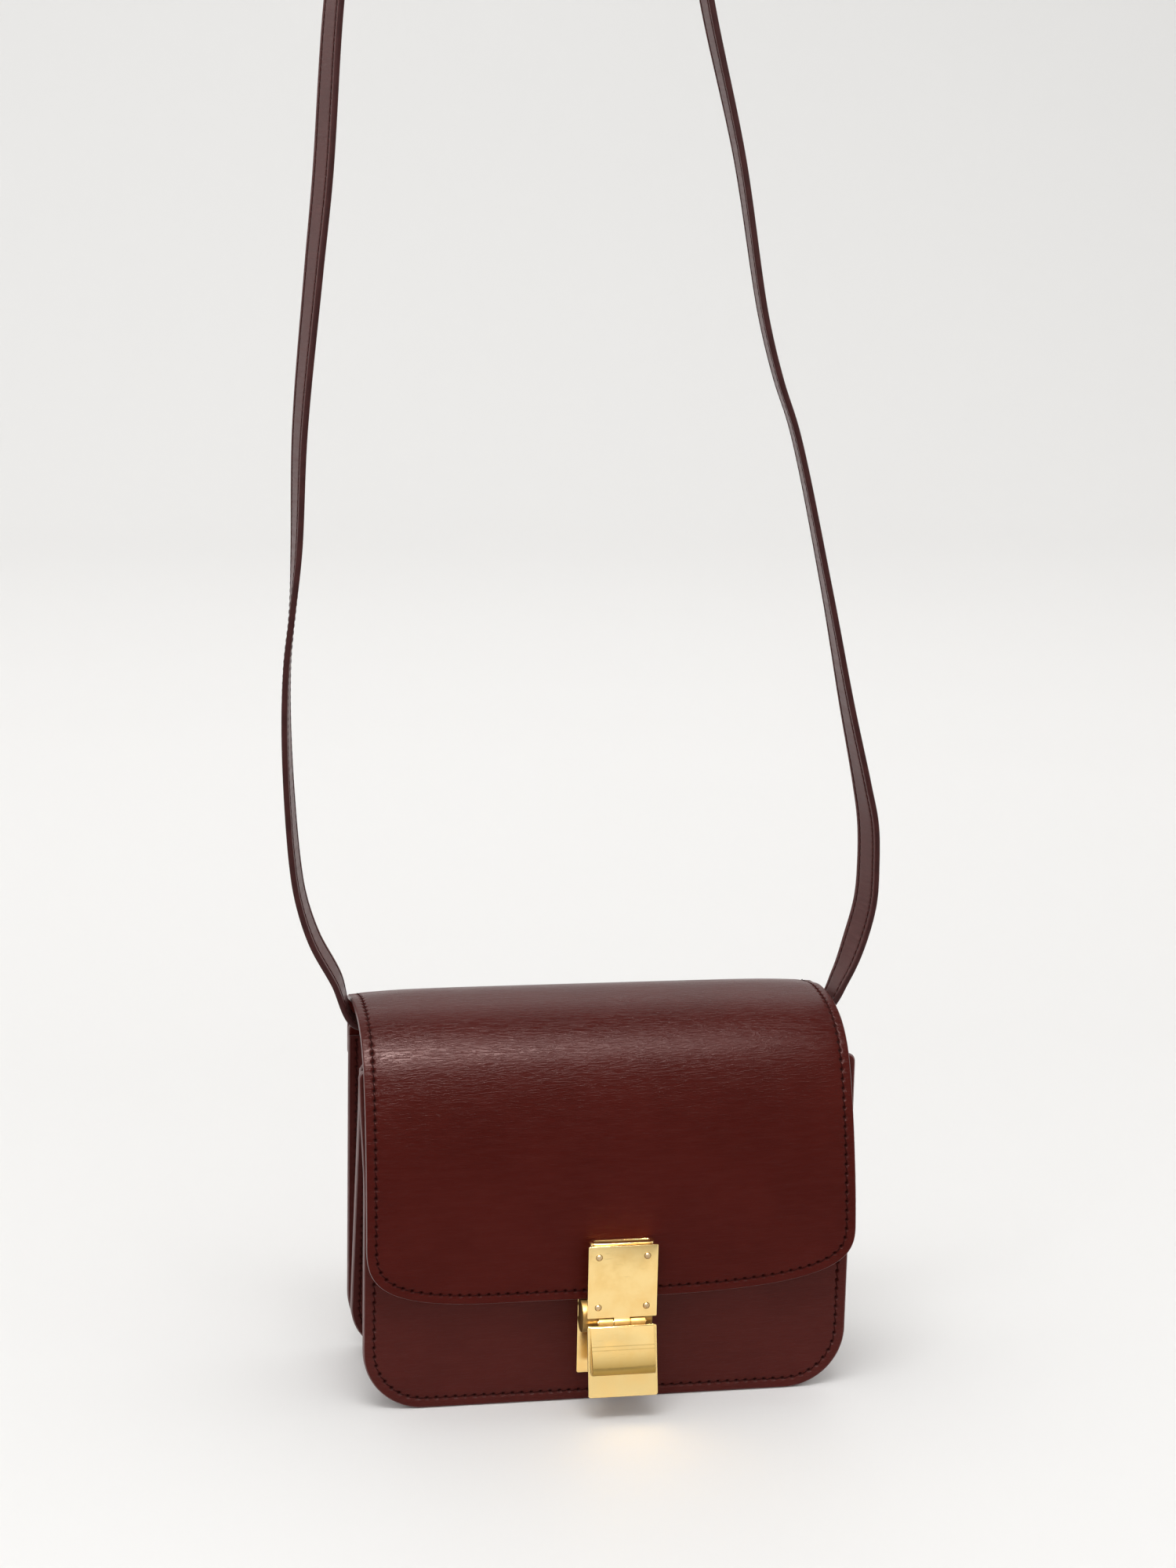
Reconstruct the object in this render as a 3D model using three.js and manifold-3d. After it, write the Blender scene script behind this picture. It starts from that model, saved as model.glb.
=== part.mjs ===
// Box bag: a small structured shoulder bag with two bellows compartments, a curved flap,
// a stitched strap and a brass clasp. Millimetres, X to the right, Y to the back, Z up.
// The bag is drawn with its front panel at y = 0 and its base at z = 0, then moved so that
// the point where the strap hangs is the origin.

import * as THREE from 'three';
import Module from 'manifold-3d';
import { mergeVertices } from 'three/addons/utils/BufferGeometryUtils.js';

const wasm = await Module();
wasm.setup();

// Body sizes
const bagWidth = 180;
const bagDepth = 61.5;
const backHeight = 129.6;
const midHeight = 127.5;
const frontHeight = 127.5;
const bottomCorner = 22.6;
const topCorner = 3;
const panelWall = 2.4;
const frontTopLean = 6;
const frontTopFlare = 1.5;
const frontBendShare = 0.62;
const midTopInset = 14.6;
const midBottomInset = 10.4;

// Bellows gussets
const gussetWall = 1.2;
const gussetFlange = 4;
const gussetInset = 0.4;
const gussetFoldGap = 0.35;
const gussetFoldWide = 8;
const gussetFoldNarrow = 12;
const gussetTopDrop = 3;

// Flap
const flapWidth = 180.6;
const flapShift = 0.6;
const flapSkew = 1.5;
const flapTaper = 1.15;
const flapWall = 1.8;
const flapTop = 142.3;
const flapEdge = 41.9;
const flapStand = 7;
const flapCrown = 2.2;
const flapCornerRise = 24;
const flapCornerLeft = 46;
const flapCornerRight = 82;
const flapCornerPower = 2.5;
const flapBackLap = 15;
const flapCrownPower = 7;

// Strap
const strapWidth = 13;
const strapWall = 2.2;
const strapBack = 48.5;
const strapDip = 3.7;
const strapDrop = 498;
const strapTail = 20;
const strapChamfer = 0.66;
const strapSeatGap = 5.7;
const tailBendReach = 7.5;
const tailBendRise = 6.6;
const tailTurnReach = 1.4;
const tailTurnDrop = 1.5;
const strapStations = 84;

// Clasp
const plateWidth = 25.5;
const plateHeight = 27.4;
const plateWall = 1.3;
const plateBottom = 37.4;
const plateShift = 2.2;
const bodyWidth = 23.9;
const bodyDepth = 5.3;
const bodyLift = 5.2;
const bodyRise = 0.5;
const grooveWidth = 20.5;
const grooveOpening = 1.5;
const grooveDepth = 1.5;
const rivetPitchX = 17.7;
const rivetPitchZ = 19.1;
const rivetHead = 1.05;
const rivetDome = 0.63;
const rivetShank = 0.55;
const rivetReach = 2.4;
const hingeDrop = 1.75;
const hingeSink = 0.375;
const hingeWeb = 0.5;
const pinRadius = 0.6;
const pinStand = 0.4;
const knuckleRadius = 1.25;
const knuckleWidth = 17.1;
const knuckleShare = 0.34;
const leverWall = 1.2;
const leverBack = 0.62;
const leverLength = 27;
const leverStart = 1.3;
const leverLean = 12.5;
const hoodWidth = 23.2;
const hoodBulge = 3.1;
const hoodBite = 0.4;
const baseWidth = 25.7;
const baseShift = 1.05;
const baseWall = 1.2;
const baseBottom = 11.3;
const baseTop = 46.5;
const barrelRadius = 5.9;
const barrelHeight = 35.6;
const barrelSink = 1.1;

// Clearances
const fit = 0.3;
const metalFit = 0.15;

// Sides of the round metal pieces
const barrelSides = 32;
const knuckleSides = 20;
const pinSides = 14;
const shankSides = 10;

// Rows from the flap's free edge over the top to the back lap. deep is a share of the bag's
// depth, stand a share of the flap's stand-off, high a share of its rise, crown of its crown.
const flapRows = [
  { deep: 0, stand: 0.93, high: 0, crown: 0 },
  { deep: 0, stand: 1, high: 0.17, crown: 0 },
  { deep: 0, stand: 0.96, high: 0.34, crown: 0.08 },
  { deep: 0, stand: 0.76, high: 0.5, crown: 0.35 },
  { deep: 0, stand: 0.42, high: 0.65, crown: 0.7 },
  { deep: 0.012, stand: 0, high: 0.782, crown: 0.95 },
  { deep: 0.09, stand: 0, high: 0.878, crown: 1 },
  { deep: 0.21, stand: 0, high: 0.945, crown: 1 },
  { deep: 0.37, stand: 0, high: 0.985, crown: 1 },
  { deep: 0.56, stand: 0, high: 1, crown: 1 },
  { deep: 0.75, stand: 0, high: 1, crown: 1 },
  { deep: 0.9, stand: 0, high: 0.984, crown: 0.9 },
];

// Rows down the back lap. tuck is a share of the flap's wall, rise a share of the flap's rise
// above the back panel, drop a share of the lap, crown a share of the crown.
const lapRows = [
  { tuck: 0.35, rise: 0.72, drop: 0, crown: 0.5 },
  { tuck: 0, rise: 0.2, drop: 0, crown: 0.1 },
  { tuck: 0, rise: 0, drop: 0.4, crown: 0 },
  { tuck: 0, rise: 0, drop: 1, crown: 0 },
];

// Rows up the left leg, over the top and down the right leg. reach is a share of half the
// bag's width, rise a share of the strap's drop, twist is in degrees.
const strapRows = [
  { reach: -0.99, rise: -0.003, twist: -3 },
  { reach: -1.063, rise: 0.03, twist: -15 },
  { reach: -1.15, rise: 0.06, twist: -16 },
  { reach: -1.204, rise: 0.09, twist: -15 },
  { reach: -1.231, rise: 0.12, twist: -15 },
  { reach: -1.263, rise: 0.207, twist: -12 },
  { reach: -1.261, rise: 0.264, twist: -8 },
  { reach: -1.24, rise: 0.304, twist: -4 },
  { reach: -1.224, rise: 0.349, twist: 6 },
  { reach: -1.211, rise: 0.432, twist: 13 },
  { reach: -1.159, rise: 0.541, twist: 19 },
  { reach: -1.123, rise: 0.61, twist: 22 },
  { reach: -1.082, rise: 0.726, twist: 21 },
  { reach: -1.025, rise: 0.81, twist: 18 },
  { reach: -0.9, rise: 0.9, twist: 12 },
  { reach: -0.66, rise: 0.975, twist: 5 },
  { reach: -0.36, rise: 1, twist: 0 },
  { reach: -0.06, rise: 0.975, twist: -1 },
  { reach: 0.155, rise: 0.9, twist: -2 },
  { reach: 0.29, rise: 0.81, twist: -3 },
  { reach: 0.374, rise: 0.734, twist: -3 },
  { reach: 0.523, rise: 0.628, twist: 1 },
  { reach: 0.64, rise: 0.518, twist: 4 },
  { reach: 0.71, rise: 0.473, twist: 4.5 },
  { reach: 0.788, rise: 0.434, twist: 5 },
  { reach: 0.945, rise: 0.319, twist: 2 },
  { reach: 1.053, rise: 0.23, twist: -5 },
  { reach: 1.131, rise: 0.17, twist: -12 },
  { reach: 1.164, rise: 0.14, twist: -17 },
  { reach: 1.173, rise: 0.11, twist: -18 },
  { reach: 1.167, rise: 0.079, twist: -20 },
  { reach: 1.127, rise: 0.048, twist: -20 },
  { reach: 1.072, rise: 0.02, twist: -10 },
  { reach: 1, rise: -0.003, twist: -2 },
];

// Hood of the lever. drop is a share of the lever's length, bulge of the hood's bulge.
const hoodRows = [
  { drop: 0.06, bulge: 0 },
  { drop: 0.16, bulge: 0.22 },
  { drop: 0.28, bulge: 0.5 },
  { drop: 0.4, bulge: 0.77 },
  { drop: 0.52, bulge: 0.96 },
  { drop: 0.6, bulge: 1 },
  { drop: 0.66, bulge: 0.93 },
  { drop: 0.69, bulge: 0.72 },
  { drop: 0.695, bulge: 0.3 },
];

const halfWidth = bagWidth / 2;
const flapLift = flapTop - flapEdge;
const midBottomFace = bagDepth - midBottomInset;
const strapBase = flapTop - flapWall - fit - strapWall * 0.75 - strapDip;

const leather = (name) => new THREE.MeshStandardMaterial({
  name,
  color: 0x4e1a15,
  roughness: 0.36,
  metalness: 0,
});

const brass = (name) => new THREE.MeshStandardMaterial({
  name,
  color: 0xe2bb6c,
  roughness: 0.2,
  metalness: 1,
});

const clamp01 = (value) => Math.min(1, Math.max(0, value));
const smooth = (value) => value * value * (3 - 2 * value);
const mix = (from, to, share) => from + (to - from) * share;

// A closed mesh from points and triangles, turned so that its faces point outward
function closedGeometry(points, triangles) {
  let volume = 0;
  for (let i = 0; i < triangles.length; i += 3) {
    const a = points[triangles[i]];
    const b = points[triangles[i + 1]];
    const c = points[triangles[i + 2]];
    volume += a.dot(b.clone().cross(c));
  }
  const order = volume < 0 ? triangles.slice().reverse() : triangles;
  const geometry = new THREE.BufferGeometry();
  const flat = points.flatMap((p) => [p.x, p.y, p.z]);
  geometry.setAttribute('position', new THREE.Float32BufferAttribute(flat, 3));
  geometry.setIndex(order);
  geometry.computeVertexNormals();
  return geometry;
}

// A solid between two grids of points, one for each side of a sheet
function sheetGeometry(outer, inner) {
  const rows = outer.length;
  const columns = outer[0].length;
  const points = [...outer.flat(), ...inner.flat()];
  const near = (r, c) => r * columns + c;
  const far = (r, c) => rows * columns + r * columns + c;
  const triangles = [];
  const quad = (a, b, c, d) => triangles.push(a, b, c, a, c, d);
  for (let r = 0; r < rows - 1; r += 1) {
    for (let c = 0; c < columns - 1; c += 1) {
      quad(near(r, c), near(r, c + 1), near(r + 1, c + 1), near(r + 1, c));
      quad(far(r, c), far(r + 1, c), far(r + 1, c + 1), far(r, c + 1));
    }
    quad(near(r, 0), near(r + 1, 0), far(r + 1, 0), far(r, 0));
    quad(near(r, columns - 1), far(r, columns - 1), far(r + 1, columns - 1), near(r + 1, columns - 1));
  }
  for (let c = 0; c < columns - 1; c += 1) {
    quad(near(0, c), far(0, c), far(0, c + 1), near(0, c + 1));
    quad(near(rows - 1, c), near(rows - 1, c + 1), far(rows - 1, c + 1), far(rows - 1, c));
  }
  return closedGeometry(points, triangles);
}

// A solid through closed convex rings with flat ends
function loftGeometry(rings) {
  const count = rings[0].length;
  const points = rings.flat();
  const triangles = [];
  for (let r = 0; r < rings.length - 1; r += 1) {
    for (let c = 0; c < count; c += 1) {
      const next = (c + 1) % count;
      const a = r * count + c;
      const b = r * count + next;
      triangles.push(a, b, b + count, a, b + count, a + count);
    }
  }
  const last = (rings.length - 1) * count;
  for (let c = 1; c < count - 1; c += 1) {
    triangles.push(0, c + 1, c);
    triangles.push(last, last + c, last + c + 1);
  }
  return closedGeometry(points, triangles);
}

// Manifold solids for the metal pieces
function toSolid(geometry) {
  const bare = geometry.clone();
  bare.deleteAttribute('normal');
  bare.deleteAttribute('uv');
  const welded = mergeVertices(bare, 1e-4);
  return new wasm.Manifold(new wasm.Mesh({
    numProp: 3,
    vertProperties: new Float32Array(welded.attributes.position.array),
    triVerts: new Uint32Array(welded.index.array),
  }));
}

function fromSolid(solid) {
  const mesh = solid.getMesh();
  const geometry = new THREE.BufferGeometry();
  geometry.setAttribute('position', new THREE.Float32BufferAttribute(mesh.vertProperties, 3));
  geometry.setIndex(Array.from(mesh.triVerts));
  geometry.computeVertexNormals();
  return geometry;
}

function box(x0, x1, y0, y1, z0, z1) {
  const geometry = new THREE.BoxGeometry(x1 - x0, y1 - y0, z1 - z0);
  return geometry.translate((x0 + x1) / 2, (y0 + y1) / 2, (z0 + z1) / 2);
}

// A cylinder along X
function rod(radius, x0, x1, y, z, sides) {
  const geometry = new THREE.CylinderGeometry(radius, radius, x1 - x0, sides);
  geometry.rotateZ(Math.PI / 2);
  return geometry.translate((x0 + x1) / 2, y, z);
}

// A flat outline of [y, z] points carried along X
function alongX(outline, x0, x1) {
  const shape = new THREE.Shape(outline.map(([y, z]) => new THREE.Vector2(y, z)));
  const geometry = new THREE.ExtrudeGeometry(shape, { depth: x1 - x0, bevelEnabled: false });
  const basis = new THREE.Matrix4().makeBasis(
    new THREE.Vector3(0, 1, 0),
    new THREE.Vector3(0, 0, 1),
    new THREE.Vector3(1, 0, 0),
  );
  return geometry.applyMatrix4(basis).translate(x0, 0, 0);
}

// Heights at which a panel's outline is drawn, closer together round its corners
function panelHeights(height) {
  const heights = [];
  const cornerSteps = 9;
  for (let i = 0; i <= cornerSteps; i += 1) {
    heights.push(bottomCorner * (1 - Math.cos((i / cornerSteps) * Math.PI / 2)));
  }
  const straight = height - topCorner - bottomCorner;
  const straightSteps = 9;
  for (let i = 1; i <= straightSteps; i += 1) {
    heights.push(bottomCorner + straight * (i / straightSteps));
  }
  for (let i = 1; i <= 3; i += 1) {
    heights.push(height - topCorner * (1 - Math.sin((i / 3) * Math.PI / 2)));
  }
  return heights;
}

function panelHalfWidth(z, height) {
  if (z < bottomCorner) {
    const below = bottomCorner - z;
    return halfWidth - bottomCorner + Math.sqrt(bottomCorner ** 2 - below ** 2);
  }
  const above = Math.max(0, z - (height - topCorner));
  return halfWidth - topCorner + Math.sqrt(Math.max(0, topCorner ** 2 - above ** 2));
}

// Front faces of the three panels, as depths at a height
const bendAt = (z) => smooth(clamp01((z / frontHeight - frontBendShare) / (1 - frontBendShare)));
const frontFace = (z) => frontTopLean * bendAt(z);
const midFace = (z) => mix(midBottomFace, midTopInset, z / midHeight);
const backFace = () => bagDepth - panelWall;

function panelGeometry(height, faceAt, flareAt) {
  const front = [];
  const back = [];
  for (const z of panelHeights(height)) {
    const reach = panelHalfWidth(z, height) + flareAt(z);
    front.push([-1, 0, 1].map((side) => new THREE.Vector3(side * reach, faceAt(z), z)));
    back.push([-1, 0, 1].map((side) => new THREE.Vector3(side * reach, faceAt(z) + panelWall, z)));
  }
  return sheetGeometry(front, back);
}

// Outline of a gusset: down one side, along the bottom and up the other
function gussetPath(topHeight) {
  const reach = halfWidth - gussetInset;
  const radius = bottomCorner - gussetInset;
  const path = [];
  const sideSteps = 9;
  const cornerSteps = 8;
  const bottomSteps = 8;
  for (let i = 0; i < sideSteps; i += 1) {
    path.push({ x: -reach, z: mix(topHeight, bottomCorner, i / sideSteps), nx: 1, nz: 0 });
  }
  for (let i = 0; i <= cornerSteps; i += 1) {
    const turn = (i / cornerSteps) * Math.PI / 2;
    path.push({
      x: -halfWidth + bottomCorner - radius * Math.cos(turn),
      z: bottomCorner - radius * Math.sin(turn),
      nx: Math.cos(turn),
      nz: Math.sin(turn),
    });
  }
  for (let i = 1; i < bottomSteps; i += 1) {
    const across = (halfWidth - bottomCorner) * ((2 * i) / bottomSteps - 1);
    path.push({ x: across, z: gussetInset, nx: 0, nz: 1 });
  }
  const left = path.filter((p) => p.x < -1e-6);
  const right = left.map((p) => ({ x: -p.x, z: p.z, nx: -p.nx, nz: p.nz })).reverse();
  return [...left, { x: 0, z: gussetInset, nx: 0, nz: 1 }, ...right];
}

// One inward bellows fold between the faces nearAt and farAt
function gussetGeometry(topHeight, nearAt, farAt) {
  const outer = [];
  const inner = [];
  for (const station of gussetPath(topHeight)) {
    const place = (depth, lay) => {
      const x = station.x + station.nx * depth;
      const z = station.z + station.nz * depth;
      const near = nearAt(z) + fit;
      const far = farAt(z) - fit;
      return new THREE.Vector3(x, lay(near, far), z);
    };
    const span = clamp01((farAt(station.z) - nearAt(station.z)) / bagDepth);
    const fold = mix(gussetFoldNarrow, gussetFoldWide, span);
    const ridge = gussetFlange + fold;
    const middle = (near, far) => (near + far) / 2;
    outer.push([
      place(0, (near) => near + gussetWall),
      place(gussetFlange, (near) => near + gussetWall),
      place(ridge, (near, far) => middle(near, far) - gussetFoldGap),
      place(ridge, (near, far) => middle(near, far) + gussetFoldGap),
      place(gussetFlange, (near, far) => far - gussetWall),
      place(0, (near, far) => far - gussetWall),
    ]);
    inner.push([
      place(0, (near) => near),
      place(gussetFlange + gussetWall, (near) => near),
      place(ridge + gussetWall, (near, far) => middle(near, far) - gussetFoldGap - gussetWall / 2),
      place(ridge + gussetWall, (near, far) => middle(near, far) + gussetFoldGap + gussetWall / 2),
      place(gussetFlange + gussetWall, (near, far) => far),
      place(0, (near, far) => far),
    ]);
  }
  return sheetGeometry(outer, inner);
}

// The flap's path in the depth and height plane, with its crown
function flapPath() {
  const places = flapRows.map((row) => new THREE.Vector3(
    row.deep * bagDepth - row.stand * flapStand,
    flapEdge + row.high * flapLift,
    row.crown * flapCrown,
  ));
  const lapFace = bagDepth + fit + flapWall;
  const shoulder = flapTop - backHeight;
  for (const row of lapRows) {
    places.push(new THREE.Vector3(
      lapFace - row.tuck * flapWall,
      backHeight + row.rise * shoulder - row.drop * flapBackLap,
      row.crown * flapCrown,
    ));
  }
  return new THREE.CatmullRomCurve3(places, false, 'centripetal');
}

function flapGeometry() {
  const curve = flapPath();
  const length = curve.getLength();
  const shares = [];
  const cornerSteps = 9;
  const bodySteps = 34;
  const cornerShare = flapCornerRise / length;
  for (let i = 0; i < cornerSteps; i += 1) {
    shares.push(cornerShare * (i / cornerSteps) ** 2);
  }
  for (let i = 0; i <= bodySteps; i += 1) {
    shares.push(mix(cornerShare, 1, i / bodySteps));
  }
  const columns = 16;
  const edgeEase = 0.3;
  const outer = [];
  const inner = [];
  for (const share of shares) {
    const centre = curve.getPointAt(share);
    const tangent = curve.getTangentAt(share);
    const out = new THREE.Vector2(-tangent.y, tangent.x).normalize();
    const pull = (1 - Math.sqrt(clamp01(share / cornerShare))) ** flapCornerPower;
    const up = smooth(clamp01((centre.y - flapEdge) / flapLift));
    const half = flapWidth / 2 - flapTaper * up;
    const middle = flapShift - flapSkew * up;
    const leftEdge = middle - half + flapCornerLeft * pull;
    const rightEdge = middle + half - flapCornerRight * pull;
    const outerRow = [];
    const innerRow = [];
    for (let c = 0; c <= columns; c += 1) {
      const across = (2 * c) / columns - 1;
      const spread = mix(across, Math.sin(across * Math.PI / 2), edgeEase);
      const x = mix(leftEdge, rightEdge, (spread + 1) / 2);
      const lift = centre.z * (1 - Math.abs(spread) ** flapCrownPower);
      outerRow.push(new THREE.Vector3(x, centre.x + out.x * lift, centre.y + out.y * lift));
      innerRow.push(new THREE.Vector3(
        x,
        centre.x + out.x * (lift - flapWall),
        centre.y + out.y * (lift - flapWall),
      ));
    }
    outer.push(outerRow);
    inner.push(innerRow);
  }
  return sheetGeometry(outer, inner);
}

// Strap places: x across, y up, z holds the twist
const seatReach = halfWidth - gussetFlange - gussetFoldWide - gussetWall - fit - strapSeatGap;

function strapCurve() {
  const places = strapRows.map((row) => new THREE.Vector3(
    row.reach * halfWidth,
    strapBase + row.rise * strapDrop,
    row.twist,
  ));
  const tails = [-1, 1].map((side) => {
    const gussetTop = midHeight - gussetTopDrop;
    const bend = new THREE.Vector3(side * (seatReach + tailBendReach), gussetTop + tailBendRise, 0);
    const turn = new THREE.Vector3(side * (seatReach + tailTurnReach), gussetTop - tailTurnDrop, 0);
    const end = new THREE.Vector3(side * seatReach, gussetTop - strapTail, 0);
    return side < 0 ? [end, turn, bend] : [bend, turn, end];
  });
  return new THREE.CatmullRomCurve3([...tails[0], ...places, ...tails[1]], false, 'centripetal');
}

function strapGeometry() {
  const curve = strapCurve();
  const rings = [];
  const half = strapWidth / 2;
  const thick = strapWall / 2;
  const section = [
    [-half, -thick + strapChamfer],
    [-half + strapChamfer, -thick],
    [half - strapChamfer, -thick],
    [half, -thick + strapChamfer],
    [half, thick - strapChamfer],
    [half - strapChamfer, thick],
    [-half + strapChamfer, thick],
    [-half, thick - strapChamfer],
  ];
  for (let i = 0; i <= strapStations; i += 1) {
    const share = i / strapStations;
    const place = curve.getPointAt(share);
    const slope = curve.getTangentAt(share);
    const along = new THREE.Vector3(slope.x, 0, slope.y).normalize();
    const twist = THREE.MathUtils.degToRad(place.z);
    const across = new THREE.Vector3(0, 1, 0).applyAxisAngle(along, twist);
    const out = new THREE.Vector3().crossVectors(across, along).normalize();
    const centre = new THREE.Vector3(place.x, strapBack, place.y);
    rings.push(section.map(([u, v]) => (
      centre.clone().addScaledVector(across, u).addScaledVector(out, v)
    )));
  }
  return loftGeometry(rings);
}

// Clasp places
const bodyBack = -flapStand - fit;
const bodyFront = bodyBack - bodyDepth;
const plateBack = bodyFront - metalFit;
const plateFront = plateBack - plateWall;
const plateTop = plateBottom + plateHeight;
const hingeHeight = plateBottom - hingeDrop;
const hingeDepth = plateFront + hingeSink;
const knuckleSplit = (knuckleWidth * knuckleShare) / 2;
const knuckleHalf = knuckleWidth / 2;

// Two part-round ends joined by straight sides, seen from above
function stadium(width, depth, steps) {
  const radius = depth / 2;
  const run = width / 2 - radius;
  const outline = [];
  for (const side of [1, -1]) {
    for (let i = 0; i <= steps; i += 1) {
      const turn = (i / steps) * Math.PI - Math.PI / 2;
      const across = side * (run + radius * Math.cos(turn));
      outline.push(new THREE.Vector2(across, side * radius * Math.sin(turn)));
    }
  }
  return new THREE.Shape(outline);
}

function claspBody() {
  const bottom = plateBottom + bodyLift;
  const top = plateTop + bodyRise;
  const middle = (bodyBack + bodyFront) / 2;
  const shell = new THREE.ExtrudeGeometry(stadium(bodyWidth, bodyDepth, 8), {
    depth: top - bottom,
    bevelEnabled: false,
  }).translate(plateShift, middle, bottom);
  const groove = new THREE.ExtrudeGeometry(stadium(grooveWidth, grooveOpening, 5), {
    depth: grooveDepth * 2,
    bevelEnabled: false,
  }).translate(plateShift, middle, top - grooveDepth);
  let solid = toSolid(shell).subtract(toSolid(groove));
  const holeRadius = rivetShank + metalFit;
  const holeEnd = plateFront + rivetReach + metalFit;
  for (const [x, z] of rivetPlaces()) {
    const hole = rodAlongY(holeRadius, bodyFront - 1, holeEnd, x, z, shankSides);
    solid = solid.subtract(toSolid(hole));
  }
  return fromSolid(solid);
}

function rodAlongY(radius, y0, y1, x, z, sides) {
  return new THREE.CylinderGeometry(radius, radius, y1 - y0, sides).translate(x, (y0 + y1) / 2, z);
}

function rivetPlaces() {
  const middle = (plateBottom + plateTop) / 2;
  const places = [];
  for (const up of [1, -1]) {
    for (const side of [-1, 1]) {
      places.push([plateShift + (side * rivetPitchX) / 2, middle + (up * rivetPitchZ) / 2]);
    }
  }
  return places;
}

function flapPlate() {
  const left = plateShift - plateWidth / 2;
  const right = plateShift + plateWidth / 2;
  const start = plateShift - knuckleSplit;
  const end = plateShift + knuckleSplit;
  let solid = toSolid(box(left, right, plateFront, plateBack, plateBottom, plateTop));
  const web = box(start, end, plateFront, plateBack, hingeHeight, plateBottom + hingeWeb);
  const knuckle = rod(knuckleRadius, start, end, hingeDepth, hingeHeight, knuckleSides);
  solid = solid.add(toSolid(web)).add(toSolid(knuckle));
  solid = solid.subtract(toSolid(pinBore()));
  for (const [x, z] of rivetPlaces()) {
    const hole = rodAlongY(rivetShank + metalFit, plateFront - 1, plateBack + 1, x, z, shankSides);
    solid = solid.subtract(toSolid(hole));
  }
  return fromSolid(solid);
}

function pinBore() {
  const start = plateShift - plateWidth;
  const end = plateShift + plateWidth;
  return rod(pinRadius + metalFit, start, end, hingeDepth, hingeHeight, pinSides);
}

function hingePin() {
  const half = knuckleHalf + pinStand;
  return rod(pinRadius, plateShift - half, plateShift + half, hingeDepth, hingeHeight, pinSides);
}

// A rivet: a shank through the plate into the body, with a domed head outside
function rivetGeometry() {
  const seat = metalFit / 2;
  const profile = [
    new THREE.Vector2(0, -rivetReach),
    new THREE.Vector2(rivetShank, -rivetReach),
    new THREE.Vector2(rivetShank, seat),
    new THREE.Vector2(rivetHead, seat),
  ];
  const steps = 4;
  for (let i = 1; i < steps; i += 1) {
    const turn = (i / steps) * Math.PI / 2;
    profile.push(new THREE.Vector2(rivetHead * Math.cos(turn), seat + rivetDome * Math.sin(turn)));
  }
  profile.push(new THREE.Vector2(0, seat + rivetDome));
  return new THREE.LatheGeometry(profile, pinSides).rotateX(Math.PI);
}

// The lever is drawn hanging straight down from its pin and then leaned forward
function leverGeometry() {
  const half = plateWidth / 2;
  const front = leverBack - leverWall;
  const hoodEnd = hoodRows[hoodRows.length - 1].drop;
  let solid = toSolid(box(-half, half, front, leverBack, -leverLength, -leverStart));
  const hood = [[front + hoodBite, -hoodRows[0].drop * leverLength]];
  for (const row of hoodRows) {
    hood.push([front - row.bulge * hoodBulge, -row.drop * leverLength]);
  }
  hood.push([front + hoodBite, -hoodEnd * leverLength]);
  solid = solid.add(toSolid(alongX(hood, -hoodWidth / 2, hoodWidth / 2)));
  for (const side of [-1, 1]) {
    const inner = side * (knuckleSplit + metalFit * 2);
    const outer = side * knuckleHalf;
    const low = Math.min(inner, outer);
    const high = Math.max(inner, outer);
    solid = solid.add(toSolid(rod(knuckleRadius, low, high, 0, 0, knuckleSides)));
    solid = solid.add(toSolid(box(low, high, front, leverBack, -leverStart - hingeWeb, 0)));
  }
  const bore = rod(pinRadius + metalFit, -half * 2, half * 2, 0, 0, pinSides);
  solid = solid.subtract(toSolid(bore));
  return fromSolid(solid).rotateX(-THREE.MathUtils.degToRad(leverLean));
}

// The plate on the front panel with the barrel that the lever closes over
function catchBase() {
  const left = baseShift - baseWidth / 2;
  const right = baseShift + baseWidth / 2;
  const back = -fit;
  const front = back - baseWall;
  const plate = toSolid(box(left, right, front, back, baseBottom, baseTop));
  const barrelDepth = front - barrelRadius + barrelSink;
  const barrel = rod(barrelRadius, left, right, barrelDepth, barrelHeight, barrelSides);
  return fromSolid(plate.add(toSolid(barrel)));
}

const bag = new THREE.Group();

function addPiece(name, geometry, material) {
  const mesh = new THREE.Mesh(geometry, material);
  mesh.name = name;
  bag.add(mesh);
  return mesh;
}

const noFlare = () => 0;
const frontFlare = (z) => frontTopFlare * bendAt(z);
const gussetTopAt = midHeight - gussetTopDrop;

addPiece('back_panel', panelGeometry(backHeight, backFace, noFlare), leather('back_leather'));
addPiece('mid_panel', panelGeometry(midHeight, midFace, noFlare), leather('mid_leather'));
addPiece('front_panel', panelGeometry(frontHeight, frontFace, frontFlare), leather('front_leather'));
addPiece(
  'back_gusset',
  gussetGeometry(gussetTopAt, (z) => midFace(z) + panelWall, backFace),
  leather('gusset_leather'),
);
addPiece(
  'front_gusset',
  gussetGeometry(gussetTopAt, (z) => frontFace(z) + panelWall, midFace),
  leather('gusset_leather'),
);
addPiece('flap', flapGeometry(), leather('flap_leather'));
addPiece('strap', strapGeometry(), leather('strap_leather'));
addPiece('catch_base', catchBase(), brass('base_brass'));
addPiece('clasp_body', claspBody(), brass('body_brass'));
addPiece('flap_plate', flapPlate(), brass('plate_brass'));
addPiece('hinge_pin', hingePin(), brass('pin_brass'));
rivetPlaces().forEach(([x, z], index) => {
  const rivet = addPiece(`rivet_${index + 1}`, rivetGeometry(), brass('rivet_brass'));
  rivet.position.set(x, plateFront, z);
});
const lever = addPiece('lever', leverGeometry(), brass('lever_brass'));
lever.position.set(plateShift, hingeDepth, hingeHeight);

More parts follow.
